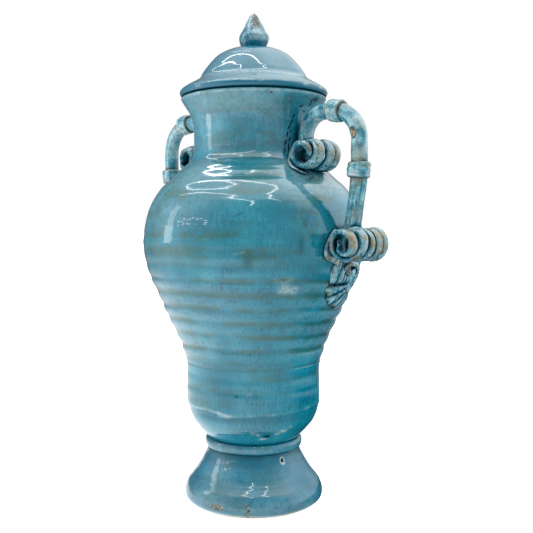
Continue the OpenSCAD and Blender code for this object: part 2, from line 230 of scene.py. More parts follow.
cam_data = bpy.data.cameras.new("camera")
cam_data.sensor_width = 36.0
cam_data.lens = 36.0 * DISTANCE / FRAME_WIDTH
cam_data.shift_x, cam_data.shift_y = SHIFT
cam_data.clip_start = 0.01
cam_data.clip_end = 50.0
camera = bpy.data.objects.new("camera", cam_data)
camera.location = (DISTANCE * math.sin(AZIMUTH), -DISTANCE * math.cos(AZIMUTH), EYE_HEIGHT)
camera.rotation_euler = (math.pi / 2, 0.0, AZIMUTH)
bpy.context.scene.collection.objects.link(camera)
bpy.context.scene.camera = camera

# Axes of the photographer's stand: right of the camera, towards the camera, and up
CAM_RIGHT = Vector((math.cos(AZIMUTH), math.sin(AZIMUTH), 0.0))
CAM_BACK = Vector((math.sin(AZIMUTH), -math.cos(AZIMUTH), 0.0))
UP = Vector((0.0, 0.0, 1.0))


# ---------------------------------------------------------------- materials
class Graph:
    """Short helpers that build one material's node graph round a Principled shader."""

    def __init__(self, name):
        self.mat = bpy.data.materials.new(name)
        self.mat.use_nodes = True
        self.nodes, self.links = self.mat.node_tree.nodes, self.mat.node_tree.links
        self.nodes.clear()
        out = self.nodes.new("ShaderNodeOutputMaterial")
        self.bsdf = self.nodes.new("ShaderNodeBsdfPrincipled")
        self.links.new(self.bsdf.outputs["BSDF"], out.inputs["Surface"])

    def node(self, kind, **props):
        n = self.nodes.new(kind)
        for key, value in props.items():
            setattr(n, key, value)
        return n

    def put(self, socket, value):
        if isinstance(value, bpy.types.NodeSocket):
            self.links.new(value, socket)
        else:
            socket.default_value = value

    def math(self, op, a, b=0.0, c=0.0, clamp=False):
        n = self.node("ShaderNodeMath", operation=op, use_clamp=clamp)
        for i, v in enumerate((a, b, c)):
            self.put(n.inputs[i], v)
        return n.outputs[0]

    def add(self, *terms):
        total = terms[0]
        for term in terms[1:]:
            total = self.math("ADD", total, term)
        return total

    def times(self, *terms):
        total = terms[0]
        for term in terms[1:]:
            total = self.math("MULTIPLY", total, term)
        return total

    def ramp(self, value, stops):
        n = self.node("ShaderNodeValToRGB")
        elements = n.color_ramp.elements
        while len(elements) > 1:
            elements.remove(elements[-1])
        elements[0].position, elements[0].color = stops[0][0], (*stops[0][1], 1.0)
        for pos, colour in stops[1:]:
            elements.new(pos).color = (*colour, 1.0)
        self.put(n.inputs["Fac"], value)
        return n.outputs["Color"]

    def level(self, value, low, high, to_low=0.0, to_high=1.0):
        n = self.node("ShaderNodeMapRange", interpolation_type="SMOOTHSTEP")
        self.put(n.inputs["Value"], value)
        for key, v in (("From Min", low), ("From Max", high), ("To Min", to_low), ("To Max", to_high)):
            n.inputs[key].default_value = v
        return n.outputs["Result"]

    def noise(self, vector, scale, detail=3.0, rough=0.55, distortion=0.0):
        n = self.node("ShaderNodeTexNoise")
        self.put(n.inputs["Vector"], vector)
        n.inputs["Scale"].default_value = scale
        n.inputs["Detail"].default_value = detail
        n.inputs["Roughness"].default_value = rough
        n.inputs["Distortion"].default_value = distortion
        return n.outputs["Fac"]

    def cells(self, vector, scale, feature):
        n = self.node("ShaderNodeTexVoronoi", feature=feature)
        self.put(n.inputs["Vector"], vector)
        n.inputs["Scale"].default_value = scale
        return n.outputs["Distance"]

    def scaled(self, vector, scale, offset=(0.0, 0.0, 0.0)):
        n = self.node("ShaderNodeMapping")
        self.put(n.inputs["Vector"], vector)
        n.inputs["Scale"].default_value = scale
        n.inputs["Location"].default_value = offset
        return n.outputs["Vector"]

    def mix(self, factor, a, b):
        n = self.node("ShaderNodeMix", data_type="RGBA")
        n.clamp_factor = True
        self.put(n.inputs["Factor"], factor)
        sockets = [s for s in n.inputs if s.type == "RGBA"]
        for socket, v in zip(sockets, (a, b)):
            if isinstance(v, bpy.types.NodeSocket):
                self.links.new(v, socket)
            else:
                socket.default_value = (*v, 1.0)
        return [s for s in n.outputs if s.type == "RGBA"][0]

    def attribute(self, name):
        return self.node("ShaderNodeAttribute", attribute_name=name).outputs["Fac"]

    def toward(self, vector, axis):
        """Dot product of a vector with a fixed direction."""
        n = self.node("ShaderNodeVectorMath", operation="DOT_PRODUCT")
        self.links.new(vector, n.inputs[0])
        n.inputs[1].default_value = axis
        return n.outputs["Value"]


class WorldGraph(Graph):
    """The same helpers for the node graph of a world, which starts empty."""

    def __init__(self, world):
        world.use_nodes = True
        self.nodes, self.links = world.node_tree.nodes, world.node_tree.links
        self.nodes.clear()


# Attributes that the meshes carry for the glaze: wear is thin, olive-brown glaze; pool is thick,
# dark blue glaze and also painted shade under and between parts; milk is a pale bloom and also
# painted highlights and a painted reflection in a few places; clay is bare clay; dirt is painted
# shade in crevices, holes and gaps, and real dark pits and specks.
MARKS = ("wear", "pool", "milk", "clay", "dirt")


def glaze(name, deep, mid, pale, seed=0.0, cloud=0.5, bands=0.25, threads=0.6, cloud_scale=18.0,
          olive=(0.016, 0.072, 0.062), rough=0.05, crackle=0.35, pits=0.5, sharp=1.0, recess=0.12):
    """A glossy turquoise glaze over brown clay: clouded, streaked downwards and finely crazed."""
    g = Graph(name)
    at = g.scaled(g.node("ShaderNodeTexCoord").outputs["Object"], (1.0, 1.0, 1.0),
                  (seed, seed * 0.7, seed * 1.3))

    mottle = g.noise(at, cloud_scale, 5.0, 0.62, 0.6)
    rings = g.noise(g.scaled(at, (7.0, 7.0, 120.0)), 1.0, 3.0, 0.6, 0.3)
    runs = g.noise(g.scaled(at, (520.0, 520.0, 70.0)), 1.0, 3.0, 0.6)
    grain = g.noise(at, 620.0, 2.0, 0.6)
    tone = g.add(g.times(mottle, cloud), g.times(rings, bands), g.times(runs, threads),
                 g.times(grain, 0.35))
    mean = (cloud + bands + threads + 0.35) / 2
    colour = g.ramp(tone, [(mean - 0.15 / sharp, deep), (mean - 0.02 / sharp, mid),
                           (mean + 0.20 / sharp, pale)])

    # Crazing: fine dark lines in cells about three millimetres wide, strong only in patches
    craze = g.level(g.cells(at, 330.0, "DISTANCE_TO_EDGE"), 0.0, 0.09, 1.0, 0.0)
    craze = g.times(craze, g.level(g.noise(at, 36.0, 2.0), 0.40, 0.62), crackle)
    colour = g.mix(craze, colour, (0.003, 0.045, 0.060))

    # Thick, dark blue glaze, and painted shade under and between parts in the same colour
    pool = g.times(g.attribute("pool"), g.level(g.noise(at, 60.0, 4.0), 0.15, 0.55))
    colour = g.mix(pool, colour, (0.000, 0.082, 0.130))
    # Pale bloom, which in a few places is a painted highlight and a painted reflection
    milk = g.times(g.attribute("milk"), g.level(g.noise(at, 210.0, 4.0, 0.65), 0.22, 0.62))
    colour = g.mix(milk, colour, (0.30, 0.385, 0.39))

    # Olive-brown where the glaze is thin, broken up into short vertical threads
    thread = g.level(runs, 0.38, 0.56)
    broken = g.level(g.noise(at, 170.0, 4.0, 0.7), 0.26, 0.56)
    wear = g.times(g.attribute("wear"), g.add(0.55, g.times(thread, 0.45)),
                   g.add(0.25, g.times(broken, 0.75)))
    colour = g.mix(wear, colour, olive)

    # Small brown pinholes here and there
    spot = g.level(g.cells(at, 120.0, "F1"), 0.04, 0.13, 1.0, 0.0)
    rare = g.level(g.noise(at, 33.0, 1.0), 0.60, 0.67)
    pit = g.times(spot, rare, pits)
    colour = g.mix(pit, colour, (0.045, 0.022, 0.008))

    # Bare clay, darker in its grain; then painted shade in crevices, holes and gaps, mixed with real dark
    # pits and specks
    bare = g.ramp(g.noise(at, 420.0, 4.0, 0.7),
                  [(0.38, (0.012, 0.008, 0.004)), (0.50, (0.11, 0.070, 0.030)),
                                                 (0.68, (0.42, 0.34, 0.23))])
    clay = g.times(g.attribute("clay"), g.level(g.noise(at, 300.0, 3.0, 0.6), 0.28, 0.46))
    colour = g.mix(clay, colour, bare)
    colour = g.mix(g.attribute("dirt"), colour, (0.000, 0.006, 0.018))
    g.links.new(colour, g.bsdf.inputs["Base Color"])

    dull = g.add(rough - 0.02, g.times(g.noise(at, 75.0, 3.0), 0.04), g.times(wear, 0.12),
                 g.times(clay, 0.5), g.times(g.attribute("dirt"), 0.5))
    g.links.new(g.math("MINIMUM", dull, 0.9), g.bsdf.inputs["Roughness"])
    g.bsdf.inputs["IOR"].default_value = 1.6
    # Weaker reflection where shade is painted and where thick glaze lies: painted shade on the mirrored room
    # too
    shaded = g.math("MINIMUM", g.add(g.attribute("dirt"), g.times(clay, 0.8)), 1.0)
    gloss = g.math("SUBTRACT", g.math("SUBTRACT", 0.5, g.times(shaded, 0.47)),
                   g.times(g.attribute("pool"), recess))
    g.links.new(g.math("MAXIMUM", gloss, 0.0), g.bsdf.inputs["Specular IOR Level"])

    height = g.add(g.times(g.noise(at, 90.0, 2.0, 0.5), 0.018), g.times(grain, 0.002),
                   g.times(runs, 0.0015))
    height = g.math("SUBTRACT", height, g.times(craze, 0.006))
    height = g.math("SUBTRACT", height, g.times(pit, 0.06))
    height = g.math("SUBTRACT", height, g.times(clay, g.noise(at, 520.0, 3.0, 0.7), 0.30))
    bump = g.node("ShaderNodeBump")
    bump.inputs["Strength"].default_value = 1.0
    bump.inputs["Distance"].default_value = 0.001
    g.put(bump.inputs["Height"], height)
    g.links.new(bump.outputs["Normal"], g.bsdf.inputs["Normal"])
    return g.mat


glaze_pot = glaze("glaze_pot", (0.002, 0.066, 0.108), (0.000, 0.130, 0.188), (0.016, 0.182, 0.240),
                  threads=0.42, cloud=0.6, recess=0.25)
glaze_foot = glaze("glaze_foot", (0.001, 0.056, 0.098), (0.000, 0.102, 0.158), (0.010, 0.158, 0.216),
                   seed=3.1, bands=0.35, threads=0.35, cloud_scale=26.0)
glaze_lid = glaze("glaze_lid", (0.000, 0.056, 0.098), (0.002, 0.088, 0.132), (0.020, 0.132, 0.180),
                  seed=5.7, bands=0.2, threads=0.25, crackle=0.15)
glaze_rod = glaze("glaze_rod", (0.002, 0.076, 0.118), (0.028, 0.198, 0.255), (0.24, 0.40, 0.44), seed=9.2,
                  cloud_scale=60.0, threads=0.3, olive=(0.085, 0.090, 0.045), sharp=1.6, recess=0.35)
glaze_coil = glaze("glaze_coil", (0.000, 0.042, 0.086), (0.008, 0.158, 0.210), (0.22, 0.375, 0.405),
                   seed=2.4,
                   cloud_scale=110.0, olive=(0.140, 0.105, 0.030), crackle=0.2, sharp=2.0, recess=0.40)
glaze_leaf = glaze("glaze_leaf", (0.000, 0.042, 0.092), (0.001, 0.135, 0.200), (0.12, 0.33, 0.385),
                   seed=7.9,
                   cloud_scale=90.0, olive=(0.10, 0.09, 0.035), crackle=0.2, sharp=2.0, recess=0.40)


def dress(obj, mat, slot, body, *nodes):
    obj.data.materials.append(mat)
    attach(obj, body)
    if nodes:
        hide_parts(*nodes)
    return obj


def marked(**amounts):
    """A full set of glaze attributes, clipped to 0..1, nought where none is given."""
    return {key: min(1.0, max(0.0, amounts.get(key, 0.0))) for key in MARKS}


# ---------------------------------------------------------------- pot and neck
RING_TOP = 228.3       # highest of the clear throwing grooves
RING_PITCH = 13.7
INCISED_Z = 142.8      # a fine line cut round the pot above the waist
HANDLE_REACH = 26.0    # degrees to each side of a handle within which the skin is scored

def spot(degree, z, half_round, half_up, lift, wear=0.0, pool=0.0, milk=0.0, clay=0.0, dirt=0.0):
    """An accident of the glaze, at degrees round from +X and a height, with how much of each mark it adds."""
    return (degree, z, half_round, half_up, lift, wear, pool, milk, clay, dirt)


SPOTS = [
    spot(-30.5, 221.5, 5.5, 4.2, 0.7, wear=0.3, milk=0.8),
    spot(-25.0, 220.5, 3.6, 3.4, 0.5, wear=0.3, milk=0.85),
    spot(-31.0, 230.0, 8.5, 2.6, 0.1, wear=1.0, milk=0.45),
    spot(-27.0, 214.5, 6.0, 1.8, 0.1, wear=0.9, milk=0.2),
    spot(-13.0, 215.0, 7.0, 8.0, 0.0, wear=0.3, pool=0.5),
    spot(-33.0, 75.9, 3.2, 1.5, -0.6, pool=0.3, dirt=1.3),
    spot(-36.5, 72.8, 3.6, 1.0, 0.2, milk=1.0),
    spot(-42.0, 77.5, 1.6, 1.2, 0.3, wear=0.2, milk=0.6),
    spot(-47.0, 79.0, 1.2, 1.2, 0.3, wear=0.2, milk=0.6),
    spot(-11.0, 84.0, 2.0, 1.2, 0.3, wear=0.5, milk=0.6),
    spot(-17.5, 80.5, 3.8, 1.6, 0.5, wear=0.5, milk=1.0),
    spot(-23.0, 77.5, 2.4, 1.2, 0.3, wear=0.4, milk=0.8),
    spot(13.0, 404.5, 4.0, 2.2, -0.5, wear=0.9, pool=0.6, dirt=0.75),
    spot(8.0, 402.0, 1.6, 2.6, -0.5, wear=0.6, pool=0.6, dirt=0.85),
    spot(-33.0, 406.3, 1.3, 1.2, -0.3, wear=0.3, milk=0.2, clay=0.9, dirt=0.2),
    spot(-54.0, 254.5, 1.4, 1.1, 0.5, wear=0.3, pool=0.4, milk=0.6),
    spot(-51.0, 256.0, 1.2, 1.0, 0.4, milk=0.5),
    spot(-49.0, 247.0, 4.5, 7.0, -0.1, wear=0.7, pool=0.9),
    spot(-54.2, 288.4, 1.5, 0.9, -0.1, wear=0.2, pool=0.9, dirt=0.35),
    spot(-52.6, 290.2, 1.5, 0.9, -0.1, wear=0.2, pool=0.9, dirt=0.35),
    spot(-23.6, 262.0, 3.0, 9.0, 0.0, wear=0.2, pool=0.9, dirt=0.05),
    spot(-21.0, 283.0, 3.0, 5.0, 0.0, wear=0.4, pool=0.7),
    spot(-60.0, 117.0, 1.6, 1.6, -0.3, wear=0.5, pool=0.3, dirt=0.5),
    spot(-50.0, 119.0, 1.0, 1.6, 0.3, wear=0.3, milk=0.9),
    spot(-71.0, 96.6, 6.0, 2.2, 0.4, milk=0.55),
    spot(-76.0, 99.3, 1.8, 1.4, 0.3, wear=0.1, milk=0.8),
    spot(-98.0, 106.5, 1.2, 1.6, 0.3, wear=0.3, milk=0.7),
    spot(130.0, 188.0, 5.0, 5.0, 0.3, wear=0.4, milk=0.8),
    spot(95.0, 300.0, 3.0, 2.0, -0.3, wear=0.6, pool=0.4, clay=0.4, dirt=0.3),
    spot(60.0, 120.0, 2.0, 4.0, 0.4, wear=0.2, milk=0.9),
    spot(150.0, 372.0, 2.4, 1.6, 0.3, wear=0.4, pool=0.2, milk=0.5),
]

# Score marks where each handle was luted to the neck: (degrees, height, degrees, height, width, depth)
SCORES = [(-8.5, 385, -6.0, 389, 0.6, 0.4), (-10.5, 379, -7.5, 383, 0.7, 0.5),
          (-13.0, 374, -10.0, 378, 0.7, 0.5), (-10.5, 370, -9.0, 374, 0.6, 0.4),
          (-14.5, 366, -13.0, 372, 0.8, 0.5), (-12.0, 362, -10.5, 366, 0.7, 0.5),
          (-16.5, 358, -14.5, 363, 0.8, 0.5), (-13.0, 354, -12.0, 359, 0.7, 0.5),
          (-17.5, 350, -16.5, 355, 0.9, 0.5), (-4.0, 396, 0.5, 397, 0.6, 0.4),
          (3.0, 392, 6.5, 393, 0.6, 0.4), (8.0, 398, 12.0, 402, 0.8, 0.6)]


def handle_angle(a):
    """The angle measured from the nearer handle, mirrored on the left, and which side it is on."""
    if math.cos(a) >= 0:
        return wrap(a), 1
    return wrap(math.pi - a), -1


def throwing(z, a):
    """Height of the throwing ridges on the pot's skin, and how close this is to a groove."""
    climb = 1.3 * math.sin(a + 0.6) + 0.6 * math.sin(2 * a + 1.0)
    phase = (z + climb - RING_TOP) / RING_PITCH
    strong = between(z, 140, 158, 226, 238)
    faint = 0.45 * between(z, 232, 240, 262, 280) + 0.25 * between(z, 70, 84, 128, 140)
    uneven = 0.8 + 0.3 * math.sin(2.3 * phase + 1.3 + 0.5 * math.sin(a))
    crest = (0.5 - 0.5 * math.cos(TAU * phase)) ** 0.8
    groove = gauss((phase - round(phase)) * RING_PITCH - 0.4, 2.7)
    fine = 0.020 * math.sin(z * 1.31 + 0.5 * math.sin(a)) + 0.03 * math.sin(z * 0.83 + 1.7)
    slow = 0.20 * math.sin(z * 0.17 + 0.8)
    return (strong + faint) * uneven * (1.5 * crest - 0.85) + fine + slow, (strong + 0.9 * faint) * groove


def spot_amount(spot, z, a):
    arc = math.degrees(wrap(a - math.radians(spot[0]))) * math.pi / 180 * pot_radius(z)
    return math.exp(-((abs(arc) / spot[2]) ** 2.6 + (abs(z - spot[1]) / spot[3]) ** 2.6))


def score_amount(z, a):
    """How deep the score marks beside the handles are here, 0 to 1, and in millimetres."""
    if not 342 < z < 400:
        return 0.0, 0.0
    h, _ = handle_angle(a)
    if abs(h) > 0.45:
        return 0.0, 0.0
    best, deep = 0.0, 0.0
    r = pot_radius(z)
    x = h * r
    for a0, z0, a1, z1, width, depth in SCORES:
        x0, x1 = math.radians(a0) * r, math.radians(a1) * r
        dx, dz = x1 - x0, z1 - z0
        t = min(1.0, max(0.0, ((x - x0) * dx + (z - z0) * dz) / (dx * dx + dz * dz)))
        d = math.hypot(x - x0 - t * dx, z - z0 - t * dz)
        v = gauss(d, width * (1.6 - 0.7 * abs(2 * t - 1)))
        if v > best:
            best, deep = v, v * depth
    return best, deep


def glaze_step(a):
    """Height of the ragged edge where the second coat of glaze stops, low on the pot."""
    return (98.5 + 1.3 * math.sin(3 * a + 1) + 0.8 * math.sin(7 * a)
            + 0.9 * noise3(30 * math.cos(a), 30 * math.sin(a), 5.0, 0.22))


def pad_amount(z, a):
    """The pad of clay under each upper coil, 0 to 1."""
    h, side = handle_angle(a)
    lift = 5.0 if side < 0 else 0.0
    return gauss(math.degrees(h) - 1.0, 13.0) * gauss(z - 328.5 - lift, 5.5) if abs(h) < 0.6 else 0.0


def pot_warp(r, z, a, row):
    if not 1 < row <= pot_outer_rows:
        return 0.0, 0.0
    ridge, _ = throwing(z, a)
    ends = between(z, 66, 72, 399, 408)
    line = -0.7 * gauss(z - INCISED_Z - 0.8 * math.sin(a), 0.9)
    step = (0.75 * smooth(z, glaze_step(a) - 0.9, glaze_step(a) + 0.6)
            * (1 - smooth(z, glaze_step(a) + 1.0, glaze_step(a) + 12.0)))
    x, y = math.cos(a) * r, math.sin(a) * r
    flow = (0.9 * noise3(x, y, z * 1.3, 0.016)
            + 0.16 * noise3(x + 50, y, z * 1.2, 0.040) * (1 - 0.7 * smooth(z, 285, 300)))
    flow *= smooth(z, 68, 90) * (1 - 0.5 * smooth(z, 350, 400))
    lump = 0.0
    for spot in SPOTS:
        if abs(z - spot[1]) < 2.5 * spot[3]:
            lump += spot[4] * spot_amount(spot, z, a)
    _, deep = score_amount(z, a)
    pad = 1.6 * pad_amount(z, a)
    fuller = 1.1 * (gauss(z - 339, 5.0) - gauss(z - 326, 5.0))
    return ends * (ridge + line + step + flow + fuller) + lump - deep + pad, 0.0


def pot_marks(p, r, a, row):
    z = p[2]
    if row > pot_outer_rows:
        # inside the pot: thick glaze, and a painted shade line on the rim's top where the lid sits, which
        # stays when the lid is lifted
        return marked(wear=0.25, pool=0.5, dirt=0.9 if z > 410.75 else 0.0)
    _, groove = throwing(z, a)
    x, y = p[0], p[1]
    cluster = noise3(x, y, z * 2.2, 0.024) + 0.6 * noise3(x + 31, y, z * 2.2, 0.07)
    wear = 1.25 * groove * smooth(cluster, -0.45, 0.15)
    # olive clouds on the shoulder, the belly and the neck, in loose horizontal bands
    band = 0.5 + 0.5 * math.sin(z * 0.33 + 2.0 * noise3(x, y, z, 0.015))
    wear += 0.70 * smooth(cluster, 0.0, 0.4) * (0.4 + 0.6 * band) * between(z, 236, 250, 385, 392)
    wear += 0.45 * smooth(cluster, 0.1, 0.5) * between(z, 90, 100, 140, 160)
    wear += 0.55 * gauss(z - INCISED_Z, 1.4) + 0.4 * gauss(z - 391.0, 1.6) * smooth(cluster, -0.3, 0.3)
    wear += 0.9 * gauss(z - 410.6, 0.9)
    wear += (0.15 * between(z, 232, 250, 338, 350) + 0.12 * between(z, 288, 312, 338, 350)
             + 0.40 * smooth(z, 374, 396) * smooth(noise3(x, y, z * 2.5, 0.05), -0.4, 0.3))
    broad = noise3(x + 40, y, z * 0.7, 0.017) + 0.35 * noise3(x, y + 12, z, 0.05)
    pool = 0.5 * smooth(broad, 0.0, 0.45) * (1 - 0.5 * smooth(z, 345, 355))
    # thick glaze gathers over the bulb and in the groove above the bead
    pool += 0.5 * gauss(z - 93, 3.0) + 0.5 * gauss(z - 67, 3.0)
    milk = (0.12 * smooth(z, 372, 398) + 0.10 * smooth(z, 345, 360)) * (1 - gauss(wrap(a - 0.05), 0.45))
    # a painted reflection: pale on the shoulder beside the handle on +X
    milk += 0.55 * gauss(wrap(a - 0.05), 0.55) * between(z, 296, 322, 338, 348)
    milk += 0.20 * gauss(wrap(a + 1.7), 0.55) * between(z, 262, 300, 330, 346)
    ragged = noise3(x, y, 0.0, 0.10)
    left = gauss(wrap(a - math.radians(-92)), 0.42)
    milk += gauss(z - glaze_step(a) - 0.6, 1.3) * (0.04 + 0.24 * smooth(ragged, -0.1, 0.4) + 0.40 * left)
    # painted shadow just under the edge of the glaze step
    pool += 0.5 * gauss(z - glaze_step(a) + 1.8, 1.2)
    # a pale bloom on the crests of the ridges away from the front
    crest = 1 - groove if 140 < z < 232 else 0.0
    milk += 0.22 * crest * between(z, 140, 160, 222, 232) * (1 - gauss(wrap(a + 0.80), 0.62))
    milk += 0.45 * gauss(z - 408.9, 0.9)
    clay = 0.0
    scored, _ = score_amount(z, a)
    dirt = 1.0 * smooth(scored, 0.25, 0.75) if z > 345 else 0.0
    h, _ = handle_angle(a)
    # on the neck beside each handle: a little wear, and painted shade as thick glaze
    near = gauss(math.degrees(h) + 14, 8) * between(z, 340, 350, 388, 398)
    wear += 0.10 * near
    pool += 0.3 * near
    wear += 0.7 * pad_amount(z, a)
    for spot in SPOTS:
        if abs(z - spot[1]) < 2.5 * spot[3]:
            v = spot_amount(spot, z, a)
            wear, pool, milk = wear + spot[5] * v, pool * (1 - 0.8 * v) + spot[6] * v, milk + spot[7] * v
            clay, dirt = clay + spot[8] * v, dirt + spot[9] * v
    return marked(wear=wear, pool=pool, milk=milk, clay=clay, dirt=dirt)


pot_skin = outline(POT, 1.3)
rim = [(75.0, 410.2), (74.4, 410.7), (73.3, 411.0), (70.0, 411.0), (68.4, 410.6)]
pot_inside = [(r, z) for r, z in inset(outline(POT, 4.0), 8.0) if 78.5 < z < 405.0]
pot_rows = [(0, 65.6), (30, 65.6)] + pot_skin + rim + pot_inside + [(44, 78.2), (0, 78.0)]
pot_outer_rows = 1 + len(pot_skin)
# Closer together near the handles, where the skin is scored
turned = []
degree = -32.0
while degree < 328.0:
    turned.append(math.radians(degree))
    near_handle = abs(math.degrees(handle_angle(math.radians(degree))[0])) < HANDLE_REACH
    degree += 0.9 if near_handle else 1.8
pot = revolve("pot", pot_rows, turned, pot_warp, pot_marks)
dress(pot, glaze_pot, "glaze_pot", "vase", "belly", "neck")

# ---------------------------------------------------------------- foot and bead
FOOT_SIDES, BEAD_SIDES = 300, 180
foot_skin = outline(FOOT, 1.1)
foot_under = [(0, 46), (33, 46), (44, 22), (54, 0.8), (55, 0.0), (60, 0.0)]
foot_rows = foot_under + foot_skin + [(30, 54.5), (0, 54.5)]


def crack(z, a):
    """The firing crack in the lip of the foot, 0 to 1."""
    path = math.radians(-51.5) + 0.02 * math.sin(z * 0.9) + 0.0012 * z
    return gauss(wrap(a - path) * 70, 1.3) * (1 - smooth(z, 13, 17)) * smooth(z, 0.5, 2)


def hole_distance(z, a):
    return math.hypot(wrap(a - math.radians(-10.5)) * 50, (z - 48.0) * 0.85)


def foot_hole(z, a):
    return 1 - smooth(hole_distance(z, a), 1.3, 2.1)


def foot_warp(r, z, a, row):
    if not len(foot_under) <= row < len(foot_under) + len(foot_skin):
        return 0.0, 0.0
    ridge = (0.05 * math.sin(z * 0.75) + 0.03 * math.sin(z * 1.9) + 0.07 * math.sin(z * 0.31 + 1.0)
             + 0.08 * between(z, 18, 22, 22, 28))
    x, y = math.cos(a) * r, math.sin(a) * r
    drift = 0.25 * noise3(x, y, z, 0.022) + 0.03 * noise3(x, y, z, 0.06)
    live = between(z, 1.5, 7.0, 48, 54)
    return live * (ridge + drift) - 0.7 * crack(z, a) - 1.6 * foot_hole(z, a), 0.0


def foot_marks(p, r, a, row):
    z = p[2]
    if row < len(foot_under):
        return marked(clay=0.9, wear=0.6)
    ragged = 1.6 + 2.2 * max(0.0, noise3(p[0], p[1], 0, 0.11)) + 0.8 * noise3(p[0], p[1], 0, 0.35)
    edge = 1 - smooth(z, ragged * 0.6, ragged * 1.5)
    patch = noise3(p[0], p[1], z, 0.045) + 0.5 * noise3(p[0], p[1], z, 0.12)
    broad = noise3(p[0], p[1] + 30, z, 0.022)
    rust = (gauss(wrap(a - math.radians(-77)) * 70, 6.5) * gauss(z - 9.0, 2.2)
            * smooth(noise3(p[0], p[1], z, 0.30), -0.25, 0.1))
    hole = foot_hole(z, a)
    ring = smooth(hole_distance(z, a), 1.2, 2.0) * (1 - smooth(hole_distance(z, a), 2.5, 3.4))
    wear = 0.45 * smooth(patch, 0.0, 0.45) + 0.4 * gauss(z - 21.5, 1.0)
    # painted shade close under the joining bead and in the small hole, as thick glaze and the dark mark
    return marked(wear=wear,
                  pool=0.6 * smooth(broad, 0.0, 0.4) * smooth(z, 12, 30) + 0.5 * gauss(wrap(a - 0.25), 0.5)
                  + 0.3 * gauss(z - 27, 3) + 1.3 * smooth(z, 40, 50),
                  milk=0.05 * smooth(-broad, 0.05, 0.35) + 1.3 * ring + 0.12 * gauss(z - 12, 5),
                  clay=0.95 * edge + 2.0 * rust + 0.9 * smooth(crack(z, a), 0.15, 0.6),
                  dirt=1.1 * hole + 0.4 * crack(z, a) ** 3 + 0.35 * smooth(z, 48.5, 53.5))


foot = revolve("foot_flare", foot_rows, even(FOOT_SIDES), foot_warp, foot_marks)
dress(foot, glaze_foot, "glaze_pot", "vase", "foot")

bead_rows = [(0, 54.6), (38, 54.6)]
for i in range(17):
    t = math.pi * i / 16
    foot_side = 45.2 if t < math.pi / 2 else 42.4
    bead_rows.append((foot_side + (50.0 - foot_side) * math.sin(t) ** 0.6,
                      54.6 + 10.8 * (1 - math.cos(t)) / 2))
bead_rows += [(30, 65.4), (0, 65.4)]


def bead_warp(r, z, a, row):
    lump = (0.4 * math.sin(3 * a + 0.5) + 0.3 * math.sin(7 * a)
            + 0.5 * noise3(math.cos(a) * r, math.sin(a) * r, z, 0.1))
    return lump * smooth(r, 42, 48), 0.0


def bead_marks(p, r, a, row):
    tone = noise3(*p, 0.08)
    # painted shade where the bead tucks in against the foot and the pot, darkest on its top side
    return marked(wear=0.4 * smooth(tone, 0, 0.4), pool=1 - smooth(r, 46.5, 49.0),
                  milk=0.12 * smooth(r, 48.6, 49.8),
                  dirt=0.7 * (1 - smooth(r, 43.5, 46.5)) if p[2] > 60 else 0.0)


bead = revolve("joining_bead", bead_rows, even(BEAD_SIDES), bead_warp, bead_marks)
dress(bead, glaze_foot, "glaze_pot", "vase", "foot_bead")

# ---------------------------------------------------------------- lid
LID_SIDES, COLLAR_SIDES, BUD_SIDES = 240, 144, 150
lid_skin = outline(LID, 1.3)
lid_inside = [(r, z) for r, z in inset(outline(LID[3:], 4.0), 6.0) if r > 3 and z < 458]
lid_under = ([(0, 458.6)] + lid_inside
             + [(46, 417.4), (46, 411.5), (60, 411.4), (69.5, 411.4), (72.4, 411.7)])
lid_rows = lid_under + lid_skin + [(18, 463.2), (13, 464.2), (8, 464.5), (0, 464.6)]


def lid_warp(r, z, a, row):
    if row < len(lid_under):
        return 0.0, 0.0
    ridge = 0.015 * math.sin(r * 0.9) + 0.03 * math.sin(r * 0.37 + 2.0)
    x, y = math.cos(a) * r, math.sin(a) * r
    flow = 0.20 * noise3(x, y + 9, z, 0.022) + 0.10 * noise3(x, y, z, 0.05)
    return 0.0, (ridge + flow) * between(r, 6, 20, 70, 75)


def lid_marks(p, r, a, row):
    z = p[2]
    if row < len(lid_under):
        return marked(wear=0.5, pool=0.5)
    # painted shade on the brim's downward face and in the gap under it
    under = (1 - smooth(z, 415.6, 418.2)) if r > 66 else 0.0
    # a pale band along the crease: pale glaze with a painted reflection on it
    crease = gauss(z - 428.0, 3.0) if r > 50 else 0.0
    tone = noise3(p[0], p[1], z, 0.03)
    speck = noise3(p[0], p[1], z * 2, 0.09)
    wear = (0.9 * gauss(z - 419.6, 1.0) * smooth(speck, -0.3, 0.2)
            + 0.4 * gauss(z - 426.0, 1.5) * smooth(tone, -0.2, 0.3))
    edge = gauss(z - 417.0, 1.6) if r > 66 else 0.0
    return marked(wear=wear,
                  pool=1.1 * under + 0.9 * edge * smooth(-speck, -0.3, 0.1) + 0.3 * smooth(tone, 0.1, 0.4),
                  milk=0.25 * crease + 0.5 * edge * smooth(speck, 0.25, 0.4),
                  dirt=1.0 - smooth(z, 412.2, 413.4) if r > 60 else 0.0)


lid = revolve("lid_shell", lid_rows, even(LID_SIDES), lid_warp, lid_marks)
dress(lid, glaze_lid, "glaze_lid", "lid", "lid_dome", "lid_brim")


def ring_solid(name, rows, segments, marks):
    """A solid ring from a closed loop of (radius, height) points."""
    verts, faces, values = [], [], {}
    count = len(rows)
    for a in even(segments):
        for r, z in rows:
            rr = r + 0.3 * noise3(math.cos(a) * 20, math.sin(a) * 20, z, 0.2)
            p = (rr * math.cos(a), rr * math.sin(a), z)
            verts.append(p)
            for key, value in marks(p).items():
                values.setdefault(key, []).append(value)
    for j in range(segments):
        k = (j + 1) % segments
        for i in range(count):
            n = (i + 1) % count
            faces.append((j * count + i, k * count + i, k * count + n, j * count + n))
    return make_object(name, verts, faces, values)


